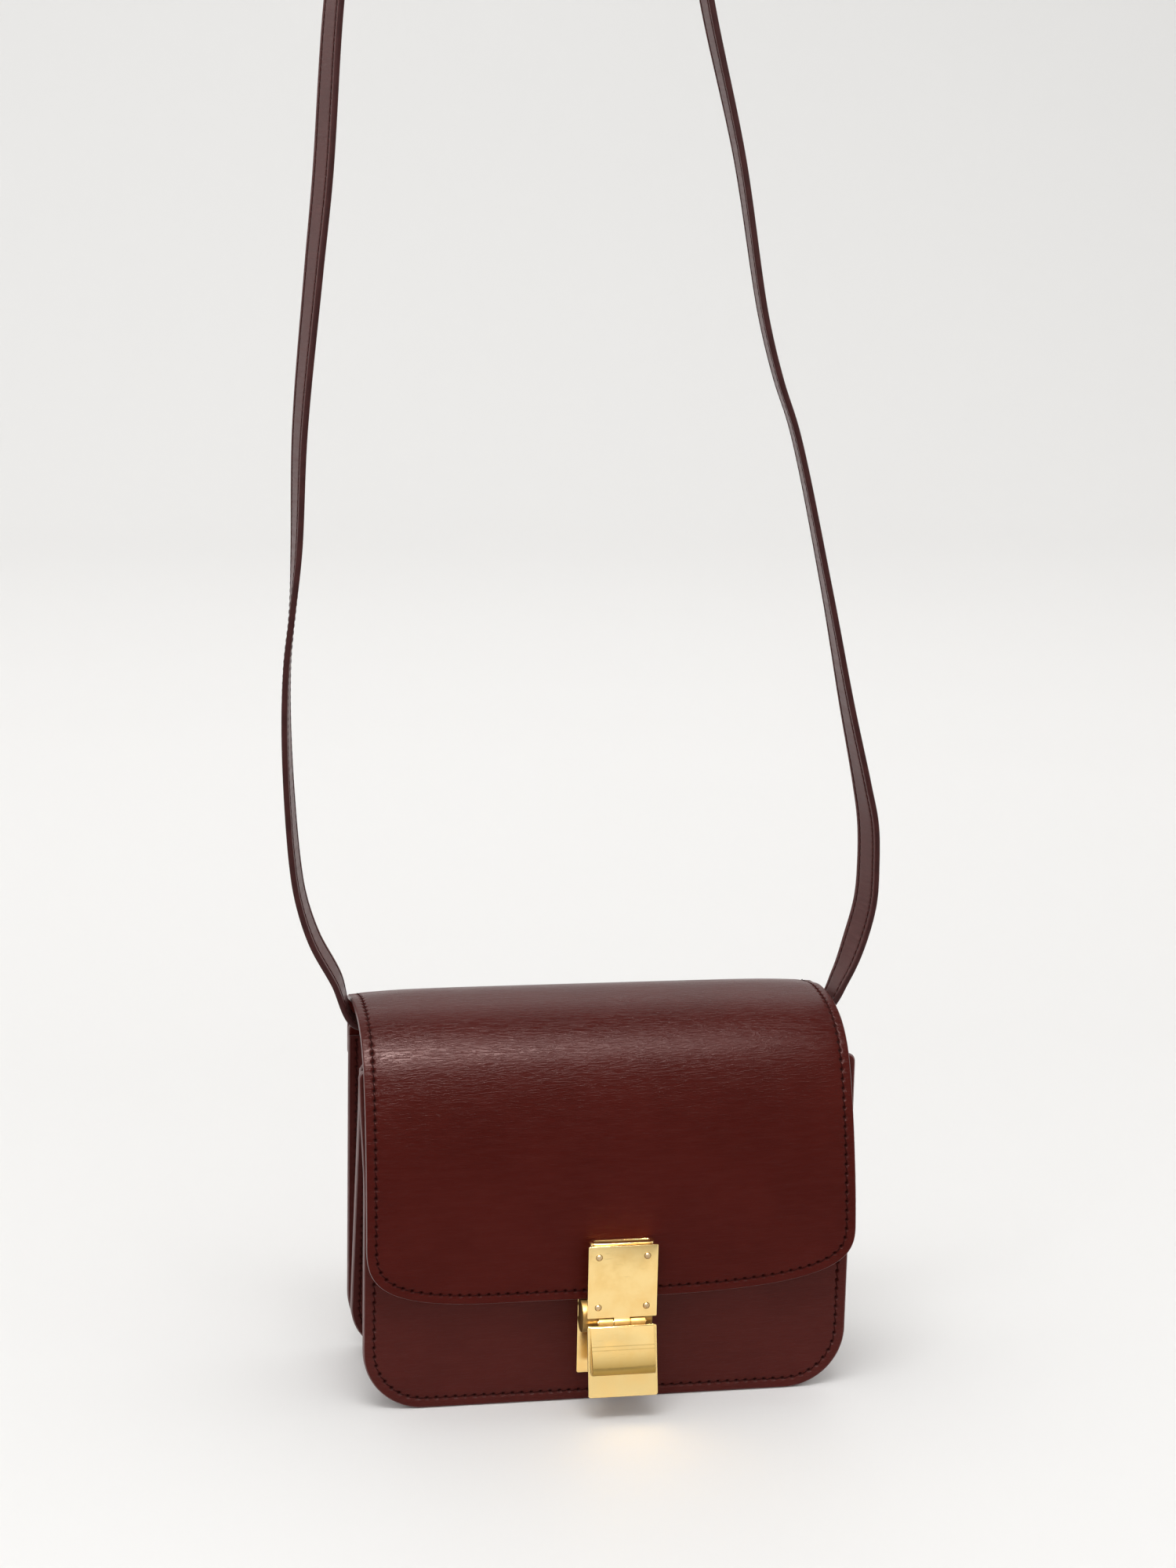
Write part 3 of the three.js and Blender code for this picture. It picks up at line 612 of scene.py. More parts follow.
def cutLeather(name, outline, stitched, place, cut, materials):
    half, count = cut["wall"] / 2, len(outline)
    insets, heights = loopSteps(cut)
    loops = insetLoops(outline, insets)
    seamLoop = loops[np.argmin(np.abs(insets - cut["seamInset"]))]
    away = insets[:, None] - cut["seamInset"]
    on = np.arange(count) < stitched
    flat = loops.reshape(-1, 2)
    seams, sides, marks = [], {}, {}
    for side in (1, -1):
        lift = np.repeat(heights[:, None], count, 1)
        marks[side] = np.zeros(lift.shape)
        if side in cut["seamSides"]:
            seamPoints, seamOut = place(seamLoop[on], np.full(on.sum(), side * (half - cut["groove"])))
            seam = Seam(seamPoints, seamOut * side, cut["pitch"], stitched >= count)
            seams.append(seam)
            gap = np.full(count, farAway)
            gap[on] = seam.fromHole()
            lift -= on * cut["groove"] * np.exp(-(away / cut["grooveWidth"]) ** 2)
            lift -= on * cut["holeDepth"] * dip(cut["holeRadius"], gap, away)
            lift -= on * cut["pucker"] * dip(cut["puckerRadius"], gap, away)
            marks[side] = on * dip(cut["markRadius"], gap, away)
        sides[side] = place(flat, side * lift.ravel())[0]
    grid, fill = fillInside(loops[-1], cut["fillStep"])
    turned = loops[::-1].reshape(-1, 2)
    front = sides[1].reshape(len(insets), count, 3)[::-1].reshape(-1, 3)
    level = np.full(len(grid), half)
    points = np.vstack([front, sides[-1], place(grid, level)[0], place(grid, -level)[0]])
    rows = 2 * len(insets)
    faces = ringFaces(rows, count)
    rowOf = np.arange(rows - 1).repeat(count)
    slots = ((rowOf >= len(insets) - 4) & (rowOf <= len(insets) + 2)).astype(int).tolist()
    for shift, first in ((rows * count, 0), (rows * count + len(grid), (rows - 1) * count)):
        faces += [[first + v if v < count else shift + v - count for v in face] for face in fill]
        slots += [0] * len(fill)
    pattern = np.vstack([turned, flat, grid, grid]) * millimetre
    needle = np.concatenate([marks[1][::-1].ravel(), marks[-1].ravel(), np.zeros(2 * len(grid))])
    piece = makeObject(name, toFrame(points), faces, materials, slots, pattern, needle)
    print(name, len(piece.data.polygons), "faces")
    return piece, seams


# Panels

def bendAt(z):
    return eased((z / bag["frontHeight"] - bag["bendShare"]) / (1 - bag["bendShare"]))


def frontFace(z):
    return bag["topLean"] * bendAt(z)


def midFace(z):
    return mixed(bag["midBottom"], bag["midTop"], z / bag["midHeight"])


def backFace(z):
    return bag["depth"] - bag["panelWall"] + 0 * z


def panelOutline(height, spacing):
    half, low, high = bag["width"] / 2, bag["bottomCorner"], bag["topCorner"]
    sewn = spaced(np.vstack([
        [[-half, height - high]],
        arc(-half + low, low, low, 180, 270),
        arc(half - low, low, low, 270, 360),
        [[half, height - high]],
    ]), spacing)
    top = spaced(np.vstack([arc(half - high, height - high, high, 0, 90, 8),
                            arc(-half + high, height - high, high, 90, 180, 8)]), spacing)
    return np.vstack([sewn, top[1:-1]]), len(sewn)


def makePanel(name, height, faceAt, material, node, seamSides, flare=0.0):
    def place(flat, lift):
        x, z = flat[:, 0], flat[:, 1]
        wide = x * (1 + flare * bendAt(z) / (bag["width"] / 2))
        points = np.stack([wide, faceAt(z) + bag["panelWall"] / 2 - lift, z], 1)
        return points, np.tile([0.0, -1.0, 0.0], (len(points), 1))
    outline, stitched = panelOutline(height, panelCut["spacing"])
    cut = {**panelCut, "seamSides": seamSides}
    panel, seams = cutLeather(name, outline, stitched, place, cut, [material, edgePaint])
    rideAs(panel, "bag", "box_calf", node)
    return seams


sewPanel = {"lift": -0.08, "lengthShare": 0.72, "threadRadius": 0.25, "slant": 0.2}
panelSeams = makePanel("frontPanel", bag["frontHeight"], frontFace, frontCalf, "front_panel", (1,), bag["topFlare"])
makePanel("midPanel", bag["midHeight"], midFace, boxCalf, "mid_panel", ())
panelSeams += makePanel("backPanel", bag["backHeight"], backFace, boxCalf, "back_panel", (-1,))
rideAs(sewSeams("panelStitches", panelSeams, sewPanel), "bag", "box_calf")


# Bellows: a folded strip round the sides and the bottom of each compartment

bellows = {
    "wall": 1.2, "flange": 4.0, "inset": 0.4, "foldWide": 8.0, "foldNarrow": 12.0, "topDrop": 3.0,
    "flangeSteps": (0, 0.4, 0.9, 1.5, 2.0, 2.35, 2.7, 3.05, 3.4), "flangeEnd": 3.7, "flangeBend": 0.9,
    "ridgeBend": 1.4, "ridgeShare": 0.12, "touch": 0.03, "edgeTurns": (-60, -30, 0, 30, 60),
    "edgeBulge": 0.45, "seamInset": 2.7, "seamEnd": 1.5, "pitch": 3.5, "spacing": 0.8,
    "groove": 0.1, "grooveWidth": 0.5, "holeDepth": 0.35, "holeRadius": 0.4, "markRadius": 0.42,
}


def softCorners(points, trims, steps=7):
    path = [points[0]]
    for before, corner, after, trim in zip(points, points[1:], points[2:], trims):
        first = corner + unit(before - corner) * trim
        last = corner + unit(after - corner) * trim
        share = np.linspace(0, 1, steps)[:, None]
        path.extend(mixed(mixed(first, corner, share), mixed(corner, last, share), share))
    path.append(points[-1])
    return np.array(path)


def bellowsPath():
    half = bag["width"] / 2
    reach, radius = half - bellows["inset"], bag["bottomCorner"] - bellows["inset"]
    top = bag["midHeight"] - bellows["topDrop"]
    centre = half - bag["bottomCorner"]
    path = spaced(np.vstack([
        [[-reach, top]],
        arc(-centre, bag["bottomCorner"], radius, 180, 270, 40),
        arc(centre, bag["bottomCorner"], radius, 270, 360, 40),
        [[reach, top]],
    ]), bellows["spacing"])
    ahead = np.gradient(path, axis=0)
    return path, unit(np.stack([-ahead[:, 1], ahead[:, 0]], 1))


# The folded strip's section between two faces: depth from the outside, and place front to back
def foldSection(near, far):
    wall, flange = bellows["wall"], bellows["flange"]
    first, last = near + wall / 2, far - wall / 2
    ridge = flange + mixed(bellows["foldNarrow"], bellows["foldWide"], np.clip((far - near) / bag["depth"], 0, 1))
    depths = np.array(bellows["flangeSteps"]) + wall * 0.1
    fold = softCorners(np.array([
        [bellows["flangeEnd"], first], [flange + wall / 2, first], [ridge + wall / 2, (near + far) / 2],
        [flange + wall / 2, last], [bellows["flangeEnd"], last],
    ]), (bellows["flangeBend"], min(bellows["ridgeBend"], (far - near) * bellows["ridgeShare"]), bellows["flangeBend"]))
    line = np.vstack([np.stack([depths, np.full(len(depths), first)], 1), fold,
                      np.stack([depths[::-1], np.full(len(depths), last)], 1)])
    normal = unit(np.gradient(line, axis=0))[:, ::-1] * [-1, 1] * wall / 2
    turn = np.radians(bellows["edgeTurns"])
    bulge = depths[0] - np.cos(turn) * wall * bellows["edgeBulge"]
    nearEdge, farEdge = [np.stack([bulge, at + np.sin(turn) * wall / 2], 1) for at in (first, last)]
    return np.vstack([line + normal, farEdge, (line - normal)[::-1], nearEdge]), len(line)


def makeBellows(name, nearAt, farAt, node):
    path, inward = bellowsPath()
    rings, flats = [], []
    for (x, z), (nx, nz), at in zip(path, inward, runLength(path)):
        section, across = foldSection(nearAt(z) + bellows["touch"], farAt(z) - bellows["touch"])
        rings.append(np.stack([x + nx * section[:, 0], section[:, 1], z + nz * section[:, 0]], 1))
        flats.append(np.stack([section.sum(1), np.full(len(section), at)], 1))
    rings, flats = np.array(rings), np.array(flats)
    seams, needle = [], np.zeros(rings.shape[:2])
    keep = path[:, 1] < bag["midHeight"] - bellows["topDrop"] - bellows["seamEnd"]
    spot = path + inward * bellows["seamInset"]
    flangeRows = len(bellows["flangeSteps"])
    for faceAt, side, start in ((nearAt, 1, 0), (farAt, -1, across - flangeRows)):
        y = np.array([faceAt(z) for z in path[:, 1]]) + side * (bellows["wall"] + bellows["touch"] - bellows["groove"])
        points = np.stack([spot[:, 0], y, spot[:, 1]], 1)[keep]
        seam = Seam(points, np.tile([0.0, side, 0.0], (len(points), 1)), bellows["pitch"], False)
        seams.append(seam)
        gap = np.full(len(path), farAway)
        gap[keep] = seam.fromHole()
        for c in range(start, start + flangeRows):
            away = np.linalg.norm(rings[:, c, (0, 2)] - path, axis=1) - bellows["seamInset"]
            press = bellows["groove"] * np.exp(-(away / bellows["grooveWidth"]) ** 2)
            press += bellows["holeDepth"] * dip(bellows["holeRadius"], gap, away)
            rings[:, c, 1] -= side * press * keep
            needle[:, c] = dip(bellows["markRadius"], gap, away)
    count, edge = rings.shape[1], len(bellows["edgeTurns"])
    columnOf = np.tile(np.arange(count), len(rings) - 1)
    painted = ((columnOf >= across - 1) & (columnOf < across + edge)) | (columnOf >= count - edge - 1)
    faces, slots = ringFaces(len(rings), count), painted.astype(int).tolist()
    for start in (0, (len(rings) - 1) * count):
        for c in range(across - 1):
            back = 2 * across + edge - 1 - c
            faces.append([start + c, start + c + 1, start + back - 1, start + back])
        faces.append([start + across - 1 + k for k in range(edge + 2)])
        faces.append([start + 2 * across + edge - 1 + k for k in range(edge + 1)] + [start])
        slots += [1] * (across + 1)
    piece = makeObject(name, toFrame(rings.reshape(-1, 3)), faces, [bellowsCalf, edgePaint], slots,
                       flats.reshape(-1, 2) * millimetre, needle.ravel())
    print(name, len(piece.data.polygons), "faces")
    rideAs(piece, "bag", "gusset_calf", node)
    return seams


def innerFace(faceAt):
    return lambda z: faceAt(z) + bag["panelWall"]


bellowsSeams = makeBellows("frontBellows", innerFace(frontFace), midFace, "front_gusset")
bellowsSeams += makeBellows("backBellows", innerFace(midFace), backFace, "back_gusset")
sewBellows = {"lift": 0.02, "lengthShare": 0.75, "threadRadius": 0.26, "slant": 0.2}
rideAs(sewSeams("bellowsStitches", bellowsSeams, sewBellows), "bag", "gusset_calf")


# Flap: one sheet from the back over the top and down the front

flap = {
    "width": 180.6, "shift": 0.6, "skew": 1.5, "taper": 1.15, "wall": 1.8, "top": 142.3, "edge": 41.9,
    "stand": 7.0, "crown": 2.2, "cornerRise": 24.0, "cornerLeft": 46.0, "cornerRight": 82.0,
    "cornerPower": 2.5, "backLap": 15.0, "backCorner": 3.0, "crownPower": 7, "fit": 0.3,
}
flapRows = (  # share of depth, of stand-off, of rise, of crown
    (0, 0.93, 0, 0), (0, 1, 0.17, 0), (0, 0.96, 0.34, 0.08), (0, 0.76, 0.5, 0.35), (0, 0.42, 0.65, 0.7),
    (0.012, 0, 0.782, 0.95), (0.09, 0, 0.878, 1), (0.21, 0, 0.945, 1), (0.37, 0, 0.985, 1), (0.56, 0, 1, 1),
    (0.75, 0, 1, 1), (0.9, 0, 0.984, 0.9),
)
flapLift = flap["top"] - flap["edge"]
flapLapFace = bag["depth"] + flap["fit"] + flap["wall"]
flapShoulder = flap["top"] - bag["backHeight"]
flapLine = [(deep * bag["depth"] - stand * flap["stand"], flap["edge"] + high * flapLift, crown * flap["crown"])
            for deep, stand, high, crown in flapRows]
flapLine += [
    (flapLapFace - flap["wall"] * 0.35, bag["backHeight"] + flapShoulder * 0.72, flap["crown"] * 0.5),
    (flapLapFace, bag["backHeight"] + flapShoulder * 0.2, flap["crown"] * 0.1),
    (flapLapFace, bag["backHeight"] - flap["backLap"] * 0.4, 0),
    (flapLapFace, bag["backHeight"] - flap["backLap"], 0),
]
flapCurve = curveThrough(flapLine, 40)
flapRun = runLength(flapCurve[:, :2])
flapAhead = unit(np.stack([np.gradient(flapCurve[:, k], flapRun) for k in range(2)], 1))


def flapSides(s):
    up = eased((np.interp(s, flapRun, flapCurve[:, 1]) - flap["edge"]) / flapLift)
    return flap["shift"] - flap["skew"] * up, flap["width"] / 2 - flap["taper"] * up


def flapPlace(flat, lift):
    x, s = flat[:, 0], flat[:, 1]
    y, z, crown = pickAt(flapCurve, flapRun, s).T
    ahead = unit(pickAt(flapAhead, flapRun, s))
    middle, half = flapSides(s)
    spread = np.clip(np.abs((x - middle) / half), 0, 1)
    height = crown * (1 - spread ** flap["crownPower"]) - flap["wall"] / 2 + lift
    points = np.stack([x, y - ahead[:, 1] * height, z + ahead[:, 0] * height], 1)
    return points, np.stack([0 * x, -ahead[:, 1], ahead[:, 0]], 1)


def flapOutline(spacing):
    total, high = flapRun[-1], flap["backCorner"]
    fall = np.linspace(0, 1, 60) ** 2 * flap["cornerRise"]
    pull = (1 - np.sqrt(fall / flap["cornerRise"])) ** flap["cornerPower"]
    middle, half = flapSides(fall)
    left = np.stack([middle - half + flap["cornerLeft"] * pull, fall], 1)
    right = np.stack([middle + half - flap["cornerRight"] * pull, fall], 1)
    rise = np.linspace(flap["cornerRise"], total - high, 60)[1:]
    middle, half = flapSides(rise)
    leftSide, rightSide = np.stack([middle - half, rise], 1), np.stack([middle + half, rise], 1)
    endMiddle, endHalf = flapSides(total)
    path = np.vstack([
        leftSide[::-1], left[::-1], right, rightSide,
        arc(endMiddle + endHalf - high, total - high, high, 0, 90, 8)[1:],
        arc(endMiddle - endHalf + high, total - high, high, 90, 180, 8),
    ])
    return spaced(path, spacing)[:-1]


flapCut = {**panelCut, "wall": 1.8, "edgeRadius": 0.6, "seamInset": 3.5, "fillStep": 2.6, "spacing": 0.52}
outline = flapOutline(flapCut["spacing"])
flapPiece, flapSeams = cutLeather("flapSheet", outline, len(outline), flapPlace, flapCut, [boxCalf, edgePaint])
rideAs(flapPiece, "bag", "box_calf", "flap")
rideAs(sewSeams("flapStitches", flapSeams, sewPanel), "bag", "box_calf")


# Strap: two layers sewn along both edges

strap = {
    "width": 13.0, "wall": 2.2, "back": 48.5, "dip": 3.7, "drop": 498.0, "tail": 20.0,
    "tailBend": ((1.4, -1.5), (7.5, 6.6)), "seatGap": 5.7,
    "edgeRadius": 0.75, "edgeTurns": (0, 30, 60, 90), "paintShare": 0.55, "flatHalf": 1.2,
    "besideSeam": (0.8, 0.4, 0.15, -0.15, -0.4, -0.8, -1.5), "seamInset": 2.1, "pitch": 2.6, "spacing": 0.65,
    "groove": 0.1, "grooveWidth": 0.45, "holeDepth": 0.32, "holeRadius": 0.34,
}
strapRows = (  # share of half width, share of drop, twist
    (-0.99, -0.003, -3), (-1.063, 0.03, -15), (-1.15, 0.06, -16), (-1.204, 0.09, -15), (-1.231, 0.12, -15),
    (-1.263, 0.207, -12), (-1.261, 0.264, -8), (-1.24, 0.304, -4), (-1.224, 0.349, 6), (-1.211, 0.432, 13),
    (-1.159, 0.541, 19), (-1.123, 0.61, 22), (-1.082, 0.726, 21), (-1.025, 0.81, 18), (-0.9, 0.9, 12),
    (-0.66, 0.975, 5), (-0.36, 1, 0), (-0.06, 0.975, -1), (0.155, 0.9, -2), (0.29, 0.81, -3), (0.374, 0.734, -3),
    (0.523, 0.628, 1), (0.64, 0.518, 4), (0.71, 0.473, 4.5), (0.788, 0.434, 5), (0.945, 0.319, 2),
    (1.053, 0.23, -5), (1.131, 0.17, -12), (1.164, 0.14, -17), (1.173, 0.11, -18), (1.167, 0.079, -20),
    (1.127, 0.048, -20), (1.072, 0.02, -10), (1, -0.003, -2),
)


def strapLine():
    base = flap["top"] - flap["wall"] - flap["fit"] - strap["wall"] * 0.75 - strap["dip"]
    half = bag["width"] / 2
    rows = [(reach * half, base + rise * strap["drop"], twist) for reach, rise, twist in strapRows]
    seat = half - bellows["flange"] - bellows["foldWide"] - bellows["wall"] - flap["fit"] - strap["seatGap"]
    top = bag["midHeight"] - bellows["topDrop"]
    tail = [(seat, top - strap["tail"], 0)] + [(seat + out, top + up, 0) for out, up in strap["tailBend"]]
    left = [(-x, z, t) for x, z, t in tail]
    line = curveThrough(left + rows + tail[::-1], 24)
    run = runLength(line[:, :2])
    at = np.linspace(0, run[-1], int(run[-1] / strap["spacing"]) + 1)
    return pickAt(line, run, at), at


# The band's section as places across and through it, the outer half first
def strapSection():
    half, thick, radius = strap["width"] / 2, strap["wall"] / 2, strap["edgeRadius"]
    rim = [(half - radius + radius * math.cos(t), thick - radius + radius * math.sin(t))
           for t in np.radians(strap["edgeTurns"])]
    corner = rim + [(half - strap["seamInset"] + s, thick) for s in strap["besideSeam"]] + [(strap["flatHalf"], thick)]
    top = corner + [(-u, v) for u, v in corner[::-1]]
    return np.array(top + [(-u, -v) for u, v in top])


def makeStrap():
    line, at = strapLine()
    ahead = unit(np.stack([np.gradient(line[:, 0], at), 0 * at, np.gradient(line[:, 1], at)], 1))
    twist = np.radians(line[:, 2])
    across = np.outer(np.cos(twist), [0, 1, 0]) + np.cross(ahead, [0, 1, 0]) * np.sin(twist)[:, None]
    out = unit(np.cross(across, ahead))
    centre = np.stack([line[:, 0], np.full(len(at), strap["back"]), line[:, 1]], 1)
    half, thick = strap["width"] / 2, strap["wall"] / 2
    seamAt = half - strap["seamInset"]
    section = strapSection()
    seams, press = [], np.zeros((len(at), len(section)))
    needle = np.zeros(press.shape)
    for faceSide in (1, -1):
        for edgeSide in (1, -1):
            points = centre + across * (edgeSide * seamAt) + out * (faceSide * (thick - strap["groove"]))
            seam = Seam(points, out * faceSide, strap["pitch"], False)
            seams.append(seam)
            gap = seam.fromHole()
            for k, (u, v) in enumerate(section):
                if v * faceSide > thick - 0.05 and u * edgeSide > 0:
                    away = u * edgeSide - seamAt
                    needle[:, k] = dip(strap["holeRadius"], gap, away)
                    press[:, k] += strap["groove"] * np.exp(-(away / strap["grooveWidth"]) ** 2)
                    press[:, k] += strap["holeDepth"] * needle[:, k]
    rings = (centre[:, None] + across[:, None] * section[None, :, :1]
             + out[:, None] * (section[None, :, 1:] - np.sign(section[None, :, 1:]) * press[:, :, None]))
    count = len(section)
    nearRim = np.abs(section[:, 0]) > half - strap["edgeRadius"] * strap["paintShare"]
    painted = (nearRim & np.roll(nearRim, -1)).astype(int)
    flats = np.stack([np.tile(section[:, 0], (len(at), 1)), np.repeat(at[:, None], count, 1)], -1)
    piece = makeObject("strapBand", toFrame(rings.reshape(-1, 3)), ringFaces(len(at), count) + capFaces(len(at), count),
                       [strapCalf, strapEdge], np.tile(painted, len(at) - 1).tolist() + [1, 1],
                       flats.reshape(-1, 2) * millimetre, needle.ravel())
    print("strapBand", len(piece.data.polygons), "faces")
    return piece, seams


strapPiece, strapSeams = makeStrap()
rideAs(strapPiece, "bag", "strap_calf", "strap")
sewStrap = {"lift": 0.02, "lengthShare": 0.78, "threadRadius": 0.24, "slant": 0.16}
rideAs(sewSeams("strapStitches", strapSeams, sewStrap), "bag", "strap_calf")
print("leather done")


# Clasp

clasp = {
    "plateWidth": 25.5, "plateHeight": 27.4, "plateWall": 1.3, "plateBottom": 37.4, "plateShift": 2.2,
    "plateCorner": 0.4, "plateBevel": 0.13, "fit": 0.3, "metalFit": 0.15,
    "bodyWidth": 23.9, "bodyDepth": 5.3, "bodyLift": 5.2, "bodyRise": 0.5,
    "grooveWidth": 20.5, "grooveOpening": 1.5, "grooveDepth": 1.5,
    "rivetPitchX": 17.7, "rivetPitchZ": 19.1, "rivetHead": 1.05, "rivetDome": 0.62,
    "rivetSeat": 1.28, "rivetSeatHeight": 0.05, "rivetSeatSink": 0.2,
    "hingeDrop": 1.75, "hingeSink": 0.375, "pinRadius": 0.6, "pinEnd": 0.4, "knuckleRadius": 1.25,
    "knuckleWidth": 17.1, "knuckleShare": 0.34, "rodBevel": 0.12, "webCorner": 0.1, "webBevel": 0.05,
    "leverWall": 1.2, "leverBack": 0.62, "leverLength": 27.0, "leverStart": 1.3, "leverLean": 12.5,
    "leverCorner": 0.8, "webDrop": 1.9, "webFront": 0.5, "webBack": 0.6,
    "baseWidth": 25.7, "baseShift": 1.05, "baseWall": 1.2, "baseBottom": 11.3, "baseTop": 46.5,
    "baseCorner": 0.8, "baseBevel": 0.2,
    "barrelRadius": 5.9, "barrelHeight": 35.6, "barrelSink": 1.1, "barrelBevel": 0.35, "barrelDish": 0.25,
}
bodyBack = -flap["stand"] - clasp["fit"]
bodyFront = bodyBack - clasp["bodyDepth"]
plateBack = bodyFront - clasp["metalFit"]
plateFront = plateBack - clasp["plateWall"]
plateTop = clasp["plateBottom"] + clasp["plateHeight"]
hingeZ = clasp["plateBottom"] - clasp["hingeDrop"]
hingeY = plateFront + clasp["hingeSink"]
knuckleSplit = clasp["knuckleWidth"] * clasp["knuckleShare"] / 2
knuckleHalf = clasp["knuckleWidth"] / 2


def roundedRect(x0, x1, z0, z1, radius, steps=7):
    return np.vstack([
        arc(x1 - radius, z1 - radius, radius, 0, 90, steps), arc(x0 + radius, z1 - radius, radius, 90, 180, steps),
        arc(x0 + radius, z0 + radius, radius, 180, 270, steps), arc(x1 - radius, z0 + radius, radius, 270, 360, steps),
    ])


def bevelPlate(name, x, y, z, corner, bevel, material=paleBrass):
    rings = []
    for depth, sign in ((y[0], 1), (y[1], -1)):
        part = []
        for t in np.radians([90, 67, 45, 22, 0]):
            d = bevel * (1 - math.cos(t))
            flat = roundedRect(x[0] + d, x[1] - d, z[0] + d, z[1] - d, max(0.05, corner - d))
            at = np.full(len(flat), depth + sign * bevel * (1 - math.sin(t)))
            part.append(np.stack([flat[:, 0], at, flat[:, 1]], 1))
        rings += part if sign > 0 else part[::-1]
    return loft(name, rings, [material])


dishSteps = ((1, 0.5), (0.6, 0.28), (0, 0.1))  # share of the dish's depth, in from the rim


def bevelRod(name, radius, x, y, z, bevel, material=paintedShadeKnuckleBrass, dish=0.0, sides=48):
    turn = np.linspace(0, 2 * math.pi, sides, endpoint=False)
    stops = []
    if dish:
        stops += [(x[0] + dish * deep, radius - bevel - inwards) for deep, inwards in dishSteps]
    for t in np.radians([90, 60, 30, 0]):
        stops.append((x[0] + bevel * (1 - math.sin(t)), radius - bevel * (1 - math.cos(t))))
    stops += [(x[0] + x[1] - at, r) for at, r in stops[::-1]]
    rings = [np.stack([np.full(sides, at), y + r * np.cos(turn), z + r * np.sin(turn)], 1) for at, r in stops]
    return loft(name, rings, [material])


def bevelDisc(name, x, z, y, radius, height, material, sides=32):
    turn = np.linspace(0, 2 * math.pi, sides, endpoint=False)
    stops = [(y + clasp["rivetSeatSink"], radius), (y - height * 0.5, radius), (y - height, radius - height)]
    return loft(name, [np.stack([x + r * np.cos(turn), np.full(sides, d), z + r * np.sin(turn)], 1)
                       for d, r in stops], [material])


def rivetSpots():
    middle = (clasp["plateBottom"] + plateTop) / 2
    return [(clasp["plateShift"] + side * clasp["rivetPitchX"] / 2, middle + up * clasp["rivetPitchZ"] / 2)
            for up in (1, -1) for side in (-1, 1)]


def eitherSide(half):
    return clasp["plateShift"] - half, clasp["plateShift"] + half


def makePlate():
    width, middle = eitherSide(clasp["plateWidth"] / 2), eitherSide(knuckleSplit)
    parts = [
        bevelPlate("plateFace", width, (plateFront, plateBack), (clasp["plateBottom"], plateTop),
                   clasp["plateCorner"], clasp["plateBevel"]),
        bevelPlate("plateWeb", middle, (plateFront + 0.02, plateBack), (hingeZ, clasp["plateBottom"] + 0.5),
                   clasp["webCorner"], clasp["webBevel"]),
        bevelRod("plateKnuckle", clasp["knuckleRadius"], middle, hingeY, hingeZ, clasp["rodBevel"]),
    ]
    for x, z in rivetSpots():
        # each rivet sits on a ring of the dark brass: painted shade round its head
        parts.append(bevelDisc("rivetSeat", x, z, plateFront, clasp["rivetSeat"], clasp["rivetSeatHeight"], paintedShadeBrass))
    return joined("frontPlate", parts)


def stadium(width, depth, middle, steps=14):
    radius = depth / 2
    run = width / 2 - radius
    return np.vstack([arc(clasp["plateShift"] + run, middle, radius, -90, 90, steps),
                      arc(clasp["plateShift"] - run, middle, radius, 90, 270, steps)])


# The tube's wall rises from its foot over the rim and down into the slot, whose walls and floor take the dark brass:
# painted shade
tubeFoot = ((0, 0.3), (0.1, 0.1), (0.3, 0))  # up from the foot, inwards
tubeRim = ((0.45, 0), (0.2, 0.06), (0.06, 0.2), (0, 0.42))  # down from the top, inwards
tubeLip = ((0, 0.12), (0.05, 0.04), (0.2, 0))  # down from the top, out of the slot


def makeBody():
    bottom, top = clasp["plateBottom"] + clasp["bodyLift"], plateTop + clasp["bodyRise"]
    middle = (bodyBack + bodyFront) / 2
    outside = [(bottom + up, d) for up, d in tubeFoot] + [(top - down, d) for down, d in tubeRim]
    inside = [(top - down, d) for down, d in tubeLip] + [(top - clasp["grooveDepth"], 0)]
    rings = [(stadium(clasp["bodyWidth"] - 2 * d, clasp["bodyDepth"] - 2 * d, middle), z) for z, d in outside]
    rings += [(stadium(clasp["grooveWidth"] + 2 * d, clasp["grooveOpening"] + 2 * d, middle), z) for z, d in inside]
    tube = loft("claspTube", [np.stack([f[:, 0], f[:, 1], np.full(len(f), z)], 1) for f, z in rings],
                [paleBrass, paintedShadeBrass])
    slotStart = (len(rings) - 3) * len(rings[0][0])
    for face in list(tube.data.polygons)[slotStart:-2] + [tube.data.polygons[-1]]:
        face.material_index = 1
    return tube


def makeCatch():
    width = (clasp["baseShift"] - clasp["baseWidth"] / 2, clasp["baseShift"] + clasp["baseWidth"] / 2)
    back, front = -clasp["fit"], -clasp["fit"] - clasp["baseWall"]
    plate = bevelPlate("catchPlate", width, (front, back), (clasp["baseBottom"], clasp["baseTop"]),
                       clasp["baseCorner"], clasp["baseBevel"])
    # the barrel takes the dark brass: painted shade
    barrel = bevelRod("catchBarrel", clasp["barrelRadius"], width, front - clasp["barrelRadius"] + clasp["barrelSink"],
                      clasp["barrelHeight"], clasp["barrelBevel"], paintedShadeBrass, clasp["barrelDish"], 96)
    return joined("catchBase", [plate, barrel])
